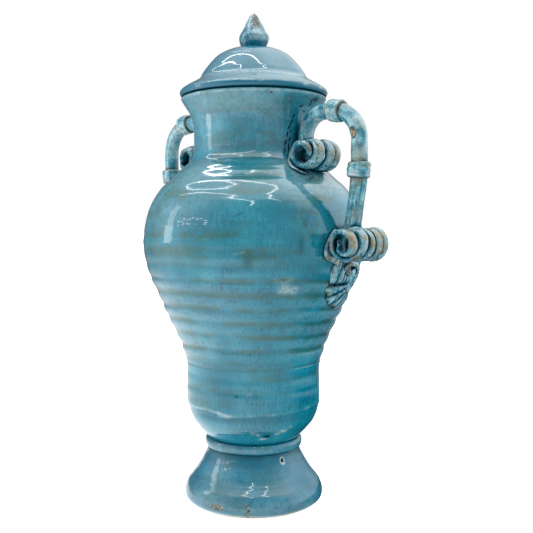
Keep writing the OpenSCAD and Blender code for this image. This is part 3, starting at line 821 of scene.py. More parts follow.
collar_rows = [(51.0, 411.4), (50.7, 404.0), (51.0, 397.6), (52.4, 396.5), (54.0, 396.5), (55.0, 397.4),
               (55.4, 404.0), (55.6, 411.4)]
collar = ring_solid("lid_locating_ring", collar_rows, COLLAR_SIDES,
                    lambda p: marked(clay=0.9 if p[2] < 399 else 0.2, wear=0.5, pool=0.3))
dress(collar, glaze_lid, "glaze_lid", "lid", "lid_collar")

# Finial: a bud pinched into soft facets that twist up to a rough, thinly glazed tip
fin_rows = [(0, 464.2), (9, 464.2)] + outline(FINIAL, 0.6) + [(0, 500.0)]
RIDGE = math.radians(-70.0)
BUD_FOOT, BUD_HEIGHT = 464.6, 35.4


def fin_warp(r, z, a, row):
    t = (z - BUD_FOOT) / BUD_HEIGHT
    live = smooth(z, 465, 470)
    full = max(0.0, math.sin(math.pi * min(1.0, max(0.0, t * 1.02)))) ** 1.1
    facet = abs(math.sin(1.5 * (a - RIDGE + 0.5 * (t - 0.5))))
    pinch = (0.55 - 1.9 * facet ** 1.6 + 0.5 * facet ** 4) * full
    rough = 0.55 * noise3(math.cos(a) * r, math.sin(a) * r, z, 0.5) * smooth(t, 0.45, 0.6)
    lump = 0.8 * noise3(math.cos(a) * r, math.sin(a) * r, z, 0.10)
    return live * (pinch + rough + lump + 0.25) * min(1.0, r / 4.0), 0.0


def fin_marks(p, r, a, row):
    t = (p[2] - BUD_FOOT) / BUD_HEIGHT
    cloud = noise3(*p, 0.13) + 0.5 * noise3(p[0], p[1] + 20, p[2], 0.35)
    tip = smooth(t + 0.22 * cloud, 0.42, 0.62)
    sunny = 0.5 + 0.5 * math.cos(a - math.radians(-22))
    ridge = gauss(wrap(a - RIDGE + 0.5 * (t - 0.5)) * 14, 1.6)
    grains = smooth(noise3(*p, 0.75), -0.15, 0.15)
    return marked(wear=0.45 * tip * smooth(cloud, -0.1, 0.3),
                  clay=0.95 * smooth(t, 0.45, 0.60) * smooth(sunny, 0.86, 0.985) * grains,
                  milk=0.40 * tip * smooth(-cloud, -0.3, 0.2) + 0.6 * ridge * smooth(t, 0.3, 0.45)
                  + 0.40 * smooth(cloud, 0.05, 0.35) * smooth(t, 0.10, 0.2),
                  pool=0.95 * smooth(-cloud, -0.12, 0.22) * (1 - tip) + 0.4 * (1 - smooth(t, 0.08, 0.25)),
                  # painted shade where the bud meets the lid; then real dark flecks between the clay grains
                  # of the tip
                  dirt=0.4 * (1 - smooth(p[2], BUD_FOOT, 466.0))
                  + 0.5 * smooth(t, 0.45, 0.60) * smooth(sunny, 0.86, 0.985) * (1 - grains))


finial = revolve("bud_finial", fin_rows, even(BUD_SIDES), fin_warp, fin_marks)
dress(finial, glaze_lid, "glaze_lid", "lid", "finial")

# ---------------------------------------------------------------- handles
ROD_R = 7.5
ROD_SIDES, STRAP_SIDES, COIL_SIDES, STRAND_SIDES = 44, 56, 24, 20     # points round each section
SET_BACK = math.radians(1.0)
RAISE = {"right": 0.0, "left": 5.0}
INNER_AT, INNER_R = (93.0, 366.0), 23.0
OUTER_AT, OUTER_R = (103.5, 359.0), 30.0
LEAN_AT, LEAN_R, LEAN = (-16.5, 337.0), 150.0, 10.0
LEAN_RUN, ROOT_R, ROOT, ROOT_RUN = 27.0, 26.0, 55.0, 5.0


def bend(centre, radius, start, stop, step=2.0):
    count = max(2, round(abs(math.radians(stop - start)) * radius / step))
    out = []
    for i in range(count + 1):
        a = math.radians(start + (stop - start) * i / count)
        out.append((centre[0] + radius * math.cos(a), centre[1] + radius * math.sin(a), a))
    return out


def line(p, q, a, step=2.0):
    count = max(1, round(math.hypot(q[0] - p[0], q[1] - p[1]) / step))
    return [(p[0] + (q[0] - p[0]) * i / count, p[1] + (q[1] - p[1]) * i / count, a)
            for i in range(1, count)]


def rod_path():
    lean, root = math.radians(LEAN), math.radians(ROOT)
    lean_end = (LEAN_AT[0] + LEAN_R * math.cos(lean), LEAN_AT[1] - LEAN_R * math.sin(lean))
    start = (lean_end[0] - LEAN_RUN * math.sin(lean), lean_end[1] - LEAN_RUN * math.cos(lean))
    at = (start[0] - ROOT_R * math.cos(lean), start[1] + ROOT_R * math.sin(lean))
    end = (at[0] + ROOT_R * math.cos(root), at[1] - ROOT_R * math.sin(root))
    finish = (end[0] - ROOT_RUN * math.sin(root), end[1] - ROOT_RUN * math.cos(root))
    path = [(70.0, 334.0, math.pi)]
    path += line((70.0, 334.0), (70.0, 366.0), math.pi)
    path += bend(INNER_AT, INNER_R, 180, 90)
    path += line((93.0, 389.0), (103.5, 389.0), math.pi / 2)
    path += bend(OUTER_AT, OUTER_R, 90, 0)
    path += line((133.5, 359.0), (133.5, 337.0), 0.0)
    path += bend(LEAN_AT, LEAN_R, 0, -LEAN)
    path += line(lean_end, start, -lean)
    path += bend(at, ROOT_R, -LEAN, -ROOT)
    path.append((finish[0], finish[1], -root))
    return path


def place(p, side, raised=True):
    """From the right handle's own plane to the model: set back, mirrored and raised by side."""
    x = p[0] * math.cos(SET_BACK) - p[1] * math.sin(SET_BACK)
    y = p[0] * math.sin(SET_BACK) + p[1] * math.cos(SET_BACK)
    z = p[2] + (RAISE[side] if raised else 0.0)
    return (-x, y, z) if side == "left" else (x, y, z)


def on_side(name, verts, faces, values, side, raised):
    if side == "left":
        faces = [f[::-1] for f in faces]
    return make_object(name, [place(p, side, raised) for p in verts], faces, values)


# Grooves drawn down the rod by the fingers: (degrees round the section, depth in mm, half width)
GROOVES = [(-80, 0.75, 0.9), (-32, 0.65, 0.8), (14, 0.5, 0.8), (62, 0.4, 0.9), (118, 0.6, 0.9),
           (172, 0.5, 0.8),
           (-132, 0.7, 0.9)]
# Where the straps' ends meet the rod, as (x, z)
JOINTS = [(99.8, 389.0), (114.5, 387.0), (134.0, 339.5), (132.6, 323.0)]
CHIP = (133.0, 366.0)


def groove_strength(x, z):
    low = smooth(-z, -326, -318) if x > 105 else 0.0
    return 0.30 + 0.9 * low


def rod_chip(x, z, b):
    return (gauss(wrap(b - math.radians(-100)) * ROD_R, 2.6)
            * gauss(math.hypot(x - CHIP[0], z - CHIP[1]), 4.4))


def groove_here(z, b, seed):
    deep, edge = 0.0, 0.0
    for centre, depth, width in GROOVES:
        sway = 0.10 * math.sin(z * 0.06 + centre) + 0.06 * math.sin(z * 0.21 + 2 * centre)
        d = abs(wrap(b - math.radians(centre) - sway)) * ROD_R
        live = 0.6 + 0.6 * noise3(centre, seed, z, 0.045)
        deep += depth * live * gauss(d, width)
        edge += live * gauss(d - width * 1.9, 0.8)
    return deep, edge


def rod_rings(seed):
    rings = []
    for x, z, a in rod_path():
        ring = []
        strong = groove_strength(x, z)
        for j in range(ROD_SIDES):
            b = TAU * j / ROD_SIDES
            deep, _ = groove_here(z, b, seed)
            lump = 0.45 * noise3(x + 7 * math.cos(b) + seed * 9, 7 * math.sin(b), z, 0.06)
            fine = 0.10 * noise3(x + 7 * math.cos(b), 7 * math.sin(b), z, 0.4)
            r = ROD_R + 0.25 - strong * deep + lump + fine - 0.7 * rod_chip(x, z, b)
            out = r * math.cos(b)
            ring.append((x + out * math.cos(a), r * 1.02 * math.sin(b), z + out * math.sin(a)))
        rings.append(ring)
    return rings


def rod_marks(seed):
    path = rod_path()

    def marks(p, i, b):
        x, z, _ = path[i]
        deep, edge = groove_here(z, b, seed)
        strong = groove_strength(x, z)
        tone = noise3(p[0], p[1] + 20 * seed, p[2], 0.06) + 0.4 * noise3(*p, 0.2)
        joint = max(gauss(math.hypot(x - jx, z - jz), 2.6) for jx, jz in JOINTS)
        chip = rod_chip(x, z, b)
        wear = 0.45 * smooth(tone, 0.0, 0.5) + 0.75 * strong * edge * smooth(tone, -0.4, 0.2) + 0.95 * joint
        shade = smooth(abs(wrap(b - math.radians(-100 + 35))), 1.1, 1.7) * smooth(-z, -330, -315)
        return marked(wear=wear * (1 - 0.5 * shade),
                      pool=1.7 * strong * deep + 0.5 * smooth(-tone, 0.1, 0.4) + 0.35 * shade,
                      # pale bloom on the upper rod, a third as strong on the handle on -X: painted shade on
                      # that copy
                      milk=(0.75 if seed == 0 else 0.25)
                      * smooth(noise3(p[0], p[1] + 9, p[2], 0.08) + 0.45 * smooth(x, 112, 130), 0.0, 0.5)
                      * smooth(z, 325, 350),
                      clay=smooth(chip, 0.22, 0.36) * (1 if seed == 0 else 0)
                      + 0.35 * joint * smooth(tone, 0, 0.3),
                      dirt=1.1 * gauss(chip - 0.24, 0.10) * (1 if seed == 0 else 0)
                      + 0.35 * strong * max(0.0, deep - 0.35))
    return marks


STRAP = [(-7.4, 6.6), (-7.4, 8.5), (-7.0, 9.8), (-6.1, 10.6), (-4.8, 10.8), (-3.6, 10.45),
         (-2.4, 10.6), (-0.8, 10.85), (0.8, 10.85), (2.4, 10.6), (3.6, 10.4), (4.8, 10.75),
         (6.1, 10.6), (7.0, 9.8), (7.4, 8.5), (7.4, 6.6)]


def strap_rings(at, lean, seed):
    """A strap round the rod: at is its middle (x, z), lean the rod's tilt from straight up."""
    rings = []
    for along, r in STRAP:
        ring = []
        for j in range(STRAP_SIDES):
            b = TAU * j / STRAP_SIDES
            rr = r + 0.3 * math.sin(3 * b + seed) + 0.22 * math.sin(5 * b + along * 0.4 + seed)
            rr += 0.3 * noise3(along, 10 * math.cos(b) + seed, 10 * math.sin(b), 0.2)
            shift = along * (1 + 0.05 * math.sin(2 * b + seed)) + 0.35 * math.sin(b + seed)
            out, side = rr * math.cos(b), rr * math.sin(b)
            ring.append((at[0] + out * math.cos(lean) + shift * math.sin(lean), side,
                         at[1] + shift * math.cos(lean) - out * math.sin(lean)))
        rings.append(ring)
    return rings


def strap_marks(seed):
    def marks(p, i, b):
        along = STRAP[min(i, len(STRAP) - 1)][0]
        tone = noise3(p[0] + seed, p[1], p[2], 0.13) + 0.4 * noise3(*p, 0.35)
        edge = smooth(abs(along), 5.8, 7.2)
        crease = gauss(abs(along) - 3.6, 0.8)
        return marked(wear=0.75 * edge + 0.6 * smooth(tone, 0.1, 0.5) + 0.3 * crease,
                      pool=0.4 * crease + 0.5 * smooth(-tone, 0.1, 0.45),
                      milk=0.65 * smooth(noise3(p[0] + 5, p[1], p[2], 0.12), -0.25, 0.25)
                      + 0.3 * gauss(abs(along) - 5.2, 0.7), clay=0.3 * edge * smooth(tone, 0.0, 0.3),
                      # painted shade where the strap's ends meet the rod
                      dirt=0.45 * smooth(abs(along), 6.9, 7.4))
    return marks


# The coils run round and away from the front: (degrees, radius, along y, half across, half along)
UPPER_COIL = [(-30, 7.5, -18.5, 1.8, 3.6), (40, 7.5, -19, 2.7, 5.2), (110, 10, -19, 3.3, 5.7),
              (220, 11, -18, 3.4, 6.3), (320, 11.6, -14, 3.4, 6.8), (560, 12.2, -1, 3.3, 6.7),
              (810, 12.5, 8, 3.3, 6.2), (1080, 12.3, 15.5, 3.2, 5.9), (1170, 12.2, 17, 3, 5.6),
              (1230, 11.8, 17.5, 2.4, 4.6)]
LOWER_COIL = [(110, 5.5, -27, 0.9, 3), (180, 2.2, -27, 1.1, 3.7), (250, 6, -26.7, 1.8, 4.2),
              (300, 9.4, -26.4, 2.5, 4.4), (360, 11.5, -26, 3.1, 4.7), (540, 12, -23, 3, 5.2),
              (630, 12, -19, 3.1, 5.2), (720, 12.5, -12, 3.2, 5.2), (810, 13.5, -7.5, 3.2, 5),
              (990, 12.7, -1.5, 3.1, 4.8), (1440, 12.8, 12, 3.1, 4.7), (1800, 13.2, 21, 3, 4.6),
              (1980, 13.2, 25, 2.8, 4.4), (2050, 12.2, 25.5, 2.4, 4)]
COIL_STEP = 7.5


def coil_rings(at, knots, seed):
    """A curled strand round (x, z): flattened, uneven and drawn out thin where it starts."""
    count = round((knots[-1][0] - knots[0][0]) / COIL_STEP)
    rings = []
    for i in range(count + 1):
        degree = knots[0][0] + i * COIL_STEP
        turn_r, along, across, wide = through(knots, degree)
        a = math.radians(degree)
        wander = noise3(seed * 7, i * 0.16, 3.0, 1.0)
        turn_r += 0.5 * wander
        along += 0.35 * noise3(seed * 5 + 3, i * 0.12, 9.0, 1.0)
        lean = 0.16 * math.sin(a * 0.7 + seed) + 0.10 * wander
        tip = min(1.0, (0.25 + i * 0.28), (0.25 + (count - i) * 0.28))
        ring = []
        for j in range(COIL_SIDES):
            b = TAU * j / COIL_SIDES
            cb, sb = math.cos(b), math.sin(b)
            square = (abs(cb) ** 2.5 + abs(sb) ** 2.5) ** (-1 / 2.5)
            lump = 1 + 0.07 * noise3(i * 0.22, 2.2 * cb + seed, 2.2 * sb, 1.0)
            ridge = 0.22 * math.cos(3 * b + 0.05 * i + seed)
            u = tip * (across * square * cb * lump + ridge * cb)
            v = tip * (wide * square * sb * lump + ridge * sb)
            r = turn_r + u * math.cos(lean) - v * math.sin(lean)
            y = along + u * math.sin(lean) + v * math.cos(lean)
            ring.append((at[0] + r * math.cos(a), y, at[1] + r * math.sin(a)))
        rings.append(ring)
    return rings


def coil_marks(knots, seed, warm):
    def marks(p, i, b):
        degree = knots[0][0] + i * COIL_STEP
        tone = noise3(p[0] + seed * 3, p[1], p[2], 0.10) + 0.5 * noise3(*p, 0.28)
        face = max(0.0, math.cos(b)) ** 0.6                          # 1 on the outside of the curl
        ochre = gauss(wrap(math.radians(degree - 12)), 0.55) * face
        edge = smooth(abs(math.sin(b)), 0.75, 1.0)
        wear = 1.3 * ochre * smooth(tone, -0.5, 0.05) + 0.65 * smooth(tone, 0.0, 0.45)
        wear += 0.5 * gauss(wrap(math.radians(degree - 200)), 0.4) * face * smooth(tone, -0.2, 0.3)
        # painted shade between the turns and on the inner face of the curl; a painted highlight on the top of
        # each turn
        return marked(wear=warm * wear,
                      pool=0.45 * edge + 0.55 * smooth(-tone, 0.05, 0.4)
                      + 0.5 * (1 - face) * smooth(-math.cos(b), 0.2, 0.8),
                      milk=(0.45 * smooth(-tone, -0.15, 0.35) * face
                            + 0.4 * gauss(wrap(math.radians(degree - 100)), 0.8) * face) * (1 - edge),
                      clay=0.25 * ochre * smooth(tone, 0.1, 0.4),
                      dirt=0.8 * smooth(-math.cos(b), 0.3, 0.9)
                      * smooth(degree, knots[0][0] + 60, knots[0][0] + 260))
    return marks


def on_pot(angle, z, lift):
    r = pot_radius(z) + lift
    return (r * math.cos(angle), r * math.sin(angle), z)


def strand_rings(knots, seed, knob=0.0):
    """A strand laid on the pot through knots (place, degrees, height, lift, half thickness)."""
    rings = []
    count = 44
    for i in range(count + 1):
        t = knots[0][0] + (knots[-1][0] - knots[0][0]) * i / count
        degree, z, lift, half = through(knots, t)
        step = 0.01 * (knots[-1][0] - knots[0][0])
        d0, z0, _, _ = through(knots, t - step)
        d1, z1, _, _ = through(knots, t + step)
        across = math.radians(d1 - d0) * pot_radius(z)
        length = math.hypot(across, z1 - z0) or 1.0
        side_x, side_z = (z1 - z0) / length, -across / length
        ends = min(i, count - i) / 3.0
        half *= math.sin(math.pi / 2 * min(1.0, 0.25 + ends)) * (1 + 0.10 * noise3(i * 0.3, seed, 1.0, 1.0))
        half += knob * gauss(i - count + 3.5, 3.0)
        ring = []
        for j in range(STRAND_SIDES):
            b = TAU * j / STRAND_SIDES
            u, w = half * 1.12 * math.cos(b), half * math.sin(b)
            w += 0.12 * noise3(i * 0.5, j * 0.5, seed, 1.0)
            ring.append(on_pot(math.radians(degree) + u * side_x / pot_radius(z), z + u * side_z, lift + w))
        rings.append(ring)
    return rings


def strand_marks(seed, bright=0.0):
    def marks(p, i, b):
        tone = noise3(p[0] + seed * 3, p[1], p[2], 0.12) + 0.5 * noise3(*p, 0.3)
        top = smooth(math.sin(b), -0.2, 0.8)
        knob = smooth(i, 35, 41) * bright
        # painted shade on the face that lies against the pot
        return marked(wear=0.8 * smooth(tone, -0.1, 0.35) * (1 - 0.6 * knob),
                      pool=0.8 * (1 - top) + 0.4 * smooth(-tone, 0.1, 0.4),
                      milk=0.65 * top * smooth(-tone, -0.25, 0.3) + 0.9 * knob * top, dirt=0.3 * (1 - top))
    return marks


def leaf_mesh(name, side, contour, centre, relief, lift_at_edge, marks, rounds=34, spokes=220):
    """A leaf pressed on the pot: contour and centre are (degrees, height), relief(d, z, q) the lift."""
    closed = [(i, *contour[i % len(contour)]) for i in range(-2, len(contour) + 3)]
    verts, values = [], {}
    faces, rings = [], []

    def add(degree, z, lift, q):
        verts.append(on_pot(math.radians(degree), z, lift))
        for key, value in marks(degree, z, q).items():
            values.setdefault(key, []).append(value)
        return len(verts) - 1

    edge = [through(closed, len(contour) * j / spokes) for j in range(spokes)]
    for i in range(rounds + 1):
        q = math.sin(math.pi / 2 * i / rounds) ** 0.9
        ring = []
        for d, z in (edge if i else edge[:1]):
            dd, zz = centre[0] + q * (d - centre[0]), centre[1] + q * (z - centre[1])
            ring.append(add(dd, zz, relief(dd, zz, q), q))
        rings.append(ring)
    under = [add(centre[0] + 0.93 * (d - centre[0]), centre[1] + 0.93 * (z - centre[1]), lift_at_edge, 1.0)
             for d, z in edge]
    low = [add(centre[0] + 0.85 * (d - centre[0]), centre[1] + 0.85 * (z - centre[1]), -1.6, 1.0) for d,
           z in edge]
    rings += [under, low]
    last = add(centre[0], centre[1], -1.6, 0.0)
    for j in range(spokes):
        k = (j + 1) % spokes
        faces.append((rings[0][0], rings[1][j], rings[1][k]))
        for a, b in zip(rings[1:-1], rings[2:]):
            faces.append((a[j], b[j], b[k], a[k]))
        faces.append((low[k], low[j], last))
    return on_side(name, verts, faces, values, side, False)


MAIN_LEAF = [(0, 248), (-4.5, 243), (-6, 235), (-5.2, 228), (-4.6, 224.5), (-6.4, 220.5), (-5.6, 217),
             (-4, 215.5), (-4.2, 212), (-2.6, 209), (-1, 208), (-0.8, 204.6), (2.6, 202.4), (5.5, 203),
             (8, 199.6), (13, 198.2), (17.5, 199), (21, 203), (20, 209), (15, 212.5), (12, 218),
             (13, 226), (12, 236), (7, 245)]
SIDE_LEAF = [(13, 238), (10.5, 232), (10.5, 224), (12, 216), (14, 212), (17.5, 213), (22, 218),
             (26, 226), (27, 233), (24, 239), (18, 241)]
FAN_AT = (17.5, 224.0)
FAN = (180, 163, 146, 128, 108)
DEGREE_MM = 1.83       # a degree round the belly, where the leaves lie


def fan_groove(degree, z):
    """How near this is to one of the leaf's radiating grooves, 0 to 1, and how far out along it."""
    dx, dz = (degree - FAN_AT[0]) * math.radians(1) * 105, z - FAN_AT[1]
    far = math.hypot(dx, dz)
    polar = math.degrees(math.atan2(-dz, -dx))
    best = 0.0
    for direction in FAN:
        off = math.radians(polar - (180 - direction)) * far
        best = max(best, gauss(off, 1.1 + 0.02 * far))
    return best * smooth(far, 7, 13), far


def stem(degree, z):
    """The raised stem down the upper half of the leaf, and the folds beside it."""
    off = (degree - 0.5 - (z - 222) / 6) * DEGREE_MM
    live = smooth(z, 219, 226)
    return (gauss(off, 2.3) * live,
            (gauss(off - 4.2, 1.3) + gauss(off + 4.0, 1.2) + gauss(off - 9.5, 1.2)) * live)


def main_relief(degree, z, q):
    groove, far = fan_groove(degree, z)
    thick = 2.0 + 3.0 * (1 - smooth(z, 216, 238))
    dome = max(0.0, 1 - q ** 4) ** 0.5
    lump = 0.6 * noise3(degree * 1.8, z, 3.0, 0.18) + 0.3 * noise3(degree * 1.8, z, 9.0, 0.5)
    rib, fold = stem(degree, z)
    return (0.5 + dome * (thick + lump + 1.0 * rib - 1.3 * fold - 2.6 * groove
                          + 0.5 * math.sin(far * 0.7) * smooth(far, 22, 30)))


def main_marks(degree, z, q):
    groove, _ = fan_groove(degree, z)
    rib, fold = stem(degree, z)
    groove = min(1.0, groove + 0.9 * fold)
    tone = noise3(degree * 1.8, z, 5.0, 0.14) - 0.3 * rib + 0.5 * noise3(degree * 1.8, z, 2.0, 0.4)
    edge = smooth(q, 0.86, 0.97)
    return marked(wear=0.6 * smooth(tone, 0.1, 0.45) + 0.7 * edge * smooth(tone, -0.3, 0.2),
                  # thick glaze in the grooves, with painted shade in them and round the rim where the leaf
                  # meets the pot
                  pool=1.4 * groove + 0.3 * smooth(-tone, 0.1, 0.4),
                  milk=0.5 * (1 - groove) ** 2 * smooth(-tone, -0.25, 0.2) * smooth(-z, -246, -236),
                  dirt=0.75 * groove ** 2 + 0.5 * smooth(q, 0.985, 1.0))


def side_relief(degree, z, q):
    dx = (degree - 17 - (233 - z) / 8) * DEGREE_MM
    dome = max(0.0, 1 - q ** 3.2) ** 0.5
    eye = math.hypot((degree - 20.8) * DEGREE_MM, z - 221)
    return (0.5 + dome * (3.0 - 1.5 * gauss(dx, 1.3) + 0.5 * noise3(degree * 1.8, z, 6.0, 0.2)
                          - 1.1 * gauss(eye - 2.4, 0.8)))


def side_marks(degree, z, q):
    dx = (degree - 17 - (233 - z) / 8) * DEGREE_MM
    tone = noise3(degree * 1.8, z, 15.0, 0.14) + 0.5 * noise3(degree * 1.8, z, 12.0, 0.4)
    eye = math.hypot((degree - 20.8) * DEGREE_MM, z - 221)
    edge = smooth(q, 0.8, 0.95)
    return marked(wear=0.95 * edge * smooth(degree, 17, 23) + 0.5 * smooth(tone, 0.1, 0.4),
                  # thick glaze in the fold and round the eye, with painted shade in the fold and round the
                  # rim where the leaflet meets the pot
                  pool=gauss(dx, 1.6) + gauss(eye - 2.4, 1.1),
                  milk=0.7 * smooth(-tone, -0.2, 0.3) * (1 - edge),
                  clay=0.3 * edge * smooth(tone, 0.0, 0.3),
                  dirt=0.4 * gauss(dx, 0.9) + 0.5 * smooth(q, 0.985, 1.0))


UPPER_TAIL = [(0, -10.4, 355, 2.0, 2.7), (1, -15, 345, 1.6, 2.8), (2, -18.4, 338, 1.5, 2.8),
              (3, -15, 333.5, 1.6, 2.7), (4, -11, 331, 1.8, 2.5)]
LOWER_TAIL = [(0, -4.5, 276, 1.8, 2.6), (1, -8.6, 267, 1.4, 2.7), (2, -11, 258, 1.3, 2.7),
              (3, -10.4, 251.5, 1.4, 2.7), (4, -6.5, 248.3, 1.6, 2.6), (5, -2.5, 247, 1.9, 2.6)]
WRAP = [(0, 20, 233, 3.0, 1.8), (1, 16, 240, 3.2, 2.2), (2, 9, 243.5, 3.2, 2.3),
        (3, 3.6, 240.5, 3.4, 2.3), (4, 5.6, 236.3, 3.6, 2.2), (5, 11, 232.5, 3.4, 1.9)]

ARCH_TILT, LEG_TILT = math.radians(7.0), math.radians(5.0)
ARCH_STRAP_AT = (OUTER_AT[0] + OUTER_R * math.sin(ARCH_TILT), OUTER_AT[1] + OUTER_R * math.cos(ARCH_TILT))
LEG_STRAP_AT = (133.0, 331.5)
UPPER_COIL_AT, LOWER_COIL_AT = (83.1, 348.0), (133.8, 262.0)
LEAF_CENTRE, LEAFLET_CENTRE, LEAF_FOOT = (5, 222), (18.5, 227), 0.2


def handle_pieces(side, seed):
    """The ten pieces of one handle, each in place of the CAD node on the same side."""
    def put_on(node, mat, slot, obj):
        return dress(obj, mat, slot, "vase", node + "_" + side)

    def rod_piece(name, node, rings, marks):
        return put_on(node, glaze_rod, "glaze_handle", tube(name + "_" + side, rings, marks, side))

    def coil_piece(name, node, rings, marks):
        return put_on(node, glaze_coil, "glaze_coil", tube(name + "_" + side, rings, marks, side))

    def strand_piece(name, node, slot, rings, marks):
        return put_on(node, glaze_coil, slot, tube(name + "_" + side, rings, marks, side, False))

    def leaf_piece(name, node, *shape):
        return put_on(node, glaze_leaf, "glaze_leaf", leaf_mesh(name + "_" + side, side, *shape))

    return [
        rod_piece("rod_handle", "rod", rod_rings(seed), rod_marks(seed)),
        rod_piece("arch_strap", "upper_strap",
                  strap_rings(ARCH_STRAP_AT, math.pi / 2 + ARCH_TILT, 1.0 + seed),
                  strap_marks(seed)),
        rod_piece("leg_strap", "lower_strap", strap_rings(LEG_STRAP_AT, LEG_TILT, 2.0 + seed),
                  strap_marks(seed + 4)),
        coil_piece("neck_coil", "upper_coil", coil_rings(UPPER_COIL_AT, UPPER_COIL, 0.4 + seed),
                   coil_marks(UPPER_COIL, seed, 0.6)),
        coil_piece("belly_coil", "lower_coil", coil_rings(LOWER_COIL_AT, LOWER_COIL, 1.1 + seed),
                   coil_marks(LOWER_COIL, seed + 1, 1.0)),
        strand_piece("neck_strand_end", "upper_tail", "glaze_coil", strand_rings(UPPER_TAIL, seed),
                     strand_marks(seed)),
        strand_piece("belly_strand_end", "lower_tail", "glaze_coil",
                     strand_rings(LOWER_TAIL, seed + 1, 1.0),
                     strand_marks(seed + 1, 1.0)),
        leaf_piece("large_leaf", "leaf", MAIN_LEAF, LEAF_CENTRE, main_relief, LEAF_FOOT, main_marks),
        leaf_piece("side_leaf", "leaflet", SIDE_LEAF, LEAFLET_CENTRE, side_relief, LEAF_FOOT, side_marks,
                   26, 150),
        strand_piece("leaf_wrap", "wrap", "glaze_leaf", strand_rings(WRAP, seed + 2),
                     strand_marks(seed + 2)),
    ]


detail = handle_pieces("right", 0.0) + handle_pieces("left", 2.6)

# ---------------------------------------------------------------- crevices
SHY = 0.0003


def darken_crevices(objects, solid, reach=0.009, rays=16, most=1.0, want=None):
    """Paint shade into crevices: raise the thick glaze and the dark mark on the vertices that other clay
    closes in on.
    """
    tree_verts, tree_faces = [], []
    for obj in solid:
        base = len(tree_verts)
        tree_verts += [v.co.copy() for v in obj.data.vertices]
        tree_faces += [tuple(base + i for i in f.vertices) for f in obj.data.polygons]
    tree = BVHTree.FromPolygons(tree_verts, tree_faces)
    rays_at = []
    for i in range(rays):
        u, turn = (i + 0.5) / rays, TAU * i * 0.618034
        rays_at.append((math.sqrt(u) * math.cos(turn), math.sqrt(u) * math.sin(turn), math.sqrt(1 - u)))
    for obj in objects:
        pool, dirt = obj.data.attributes["pool"].data, obj.data.attributes["dirt"].data
        wear, milk = obj.data.attributes["wear"].data, obj.data.attributes["milk"].data
        for v in obj.data.vertices:
            if want and not want(v.co):
                continue
            n = v.normal
            across = n.orthogonal().normalized()
            other = n.cross(across)
            start = v.co + n * SHY
            closed = 0.0
            for x, y, z in rays_at:
                hit = tree.ray_cast(start, across * x + other * y + n * z, reach)
                if hit[0] is not None:
                    closed += 1.0 - 0.5 * hit[3] / reach
            closed /= rays
            deep = smooth(closed, 0.14, 0.38)
            pool[v.index].value = min(1.0, pool[v.index].value + deep)
            dirt[v.index].value = min(1.0, dirt[v.index].value + most * smooth(closed, 0.24, 0.52))
            wear[v.index].value *= 1 - 0.8 * deep
            milk[v.index].value *= 1 - 0.9 * deep


def near_handles(p):
    return abs(p.y) < 0.045 and 0.195 < p.z < 0.395 and math.hypot(p.x, p.y) > 0.052


# painted shade in the handles' crevices, and a painted shadow of the handles on the pot beside them
darken_crevices(detail, detail + [pot], reach=0.013)
darken_crevices([pot], detail, most=0.45, want=near_handles)

# ---------------------------------------------------------------- floor, lights and world
EXPOSE = 1.35          # the room's brightnesses below are divided by this


def horizon(g, right, front):
    """Brightness of the room at eye level in a direction, before exposure."""
    side = g.add(0.75, g.level(right, 0.10, 0.50, 0.0, 0.30), g.level(right, 0.78, 1.00, 0.0, 0.9),
                 g.level(right, -0.70, -0.40, 0.5, 0.0), g.level(right, -1.00, -0.70, 1.2, 0.0))
    return g.times(side, g.level(front, -0.80, 0.00, 0.38, 1.0))


FLOOR_SIDES, FLOOR_RINGS = 72, (300.0, 900.0, 2200.0, 5000.0, 12000.0, 40000.0)
floor_verts, floor_faces = [(0.0, 0.0, 0.0)], []
for r in FLOOR_RINGS:
    floor_verts += [(r * math.cos(a), r * math.sin(a), 0.0) for a in even(FLOOR_SIDES)]
for j in range(FLOOR_SIDES):
    k = (j + 1) % FLOOR_SIDES
    floor_faces.append((0, 1 + j, 1 + k))
    for i in range(len(FLOOR_RINGS) - 1):
        a, b = 1 + i * FLOOR_SIDES, 1 + (i + 1) * FLOOR_SIDES
        floor_faces.append((a + j, b + j, b + k, a + k))
floor = make_object("floor", floor_verts, floor_faces)
# White to the eye; to all other rays it glows, lighting the vase, and the glaze shows it as a room that is
# bright on the left and dark on the right
fg = Graph("floor_white")
fg.bsdf.inputs["Base Color"].default_value = (0.82, 0.82, 0.82, 1.0)
fg.bsdf.inputs["Roughness"].default_value = 0.8
fg.bsdf.inputs["Specular IOR Level"].default_value = 0.1
fg.bsdf.inputs["Emission Color"].default_value = (1.0, 1.0, 1.0, 1.0)
fg.bsdf.inputs["Emission Strength"].default_value = 0.72
spot_at = fg.node("ShaderNodeVectorMath", operation="NORMALIZE")
fg.links.new(fg.node("ShaderNodeTexCoord").outputs["Object"], spot_at.inputs[0])
to_right = fg.toward(spot_at.outputs["Vector"], CAM_RIGHT)
to_front = fg.toward(spot_at.outputs["Vector"], CAM_BACK)
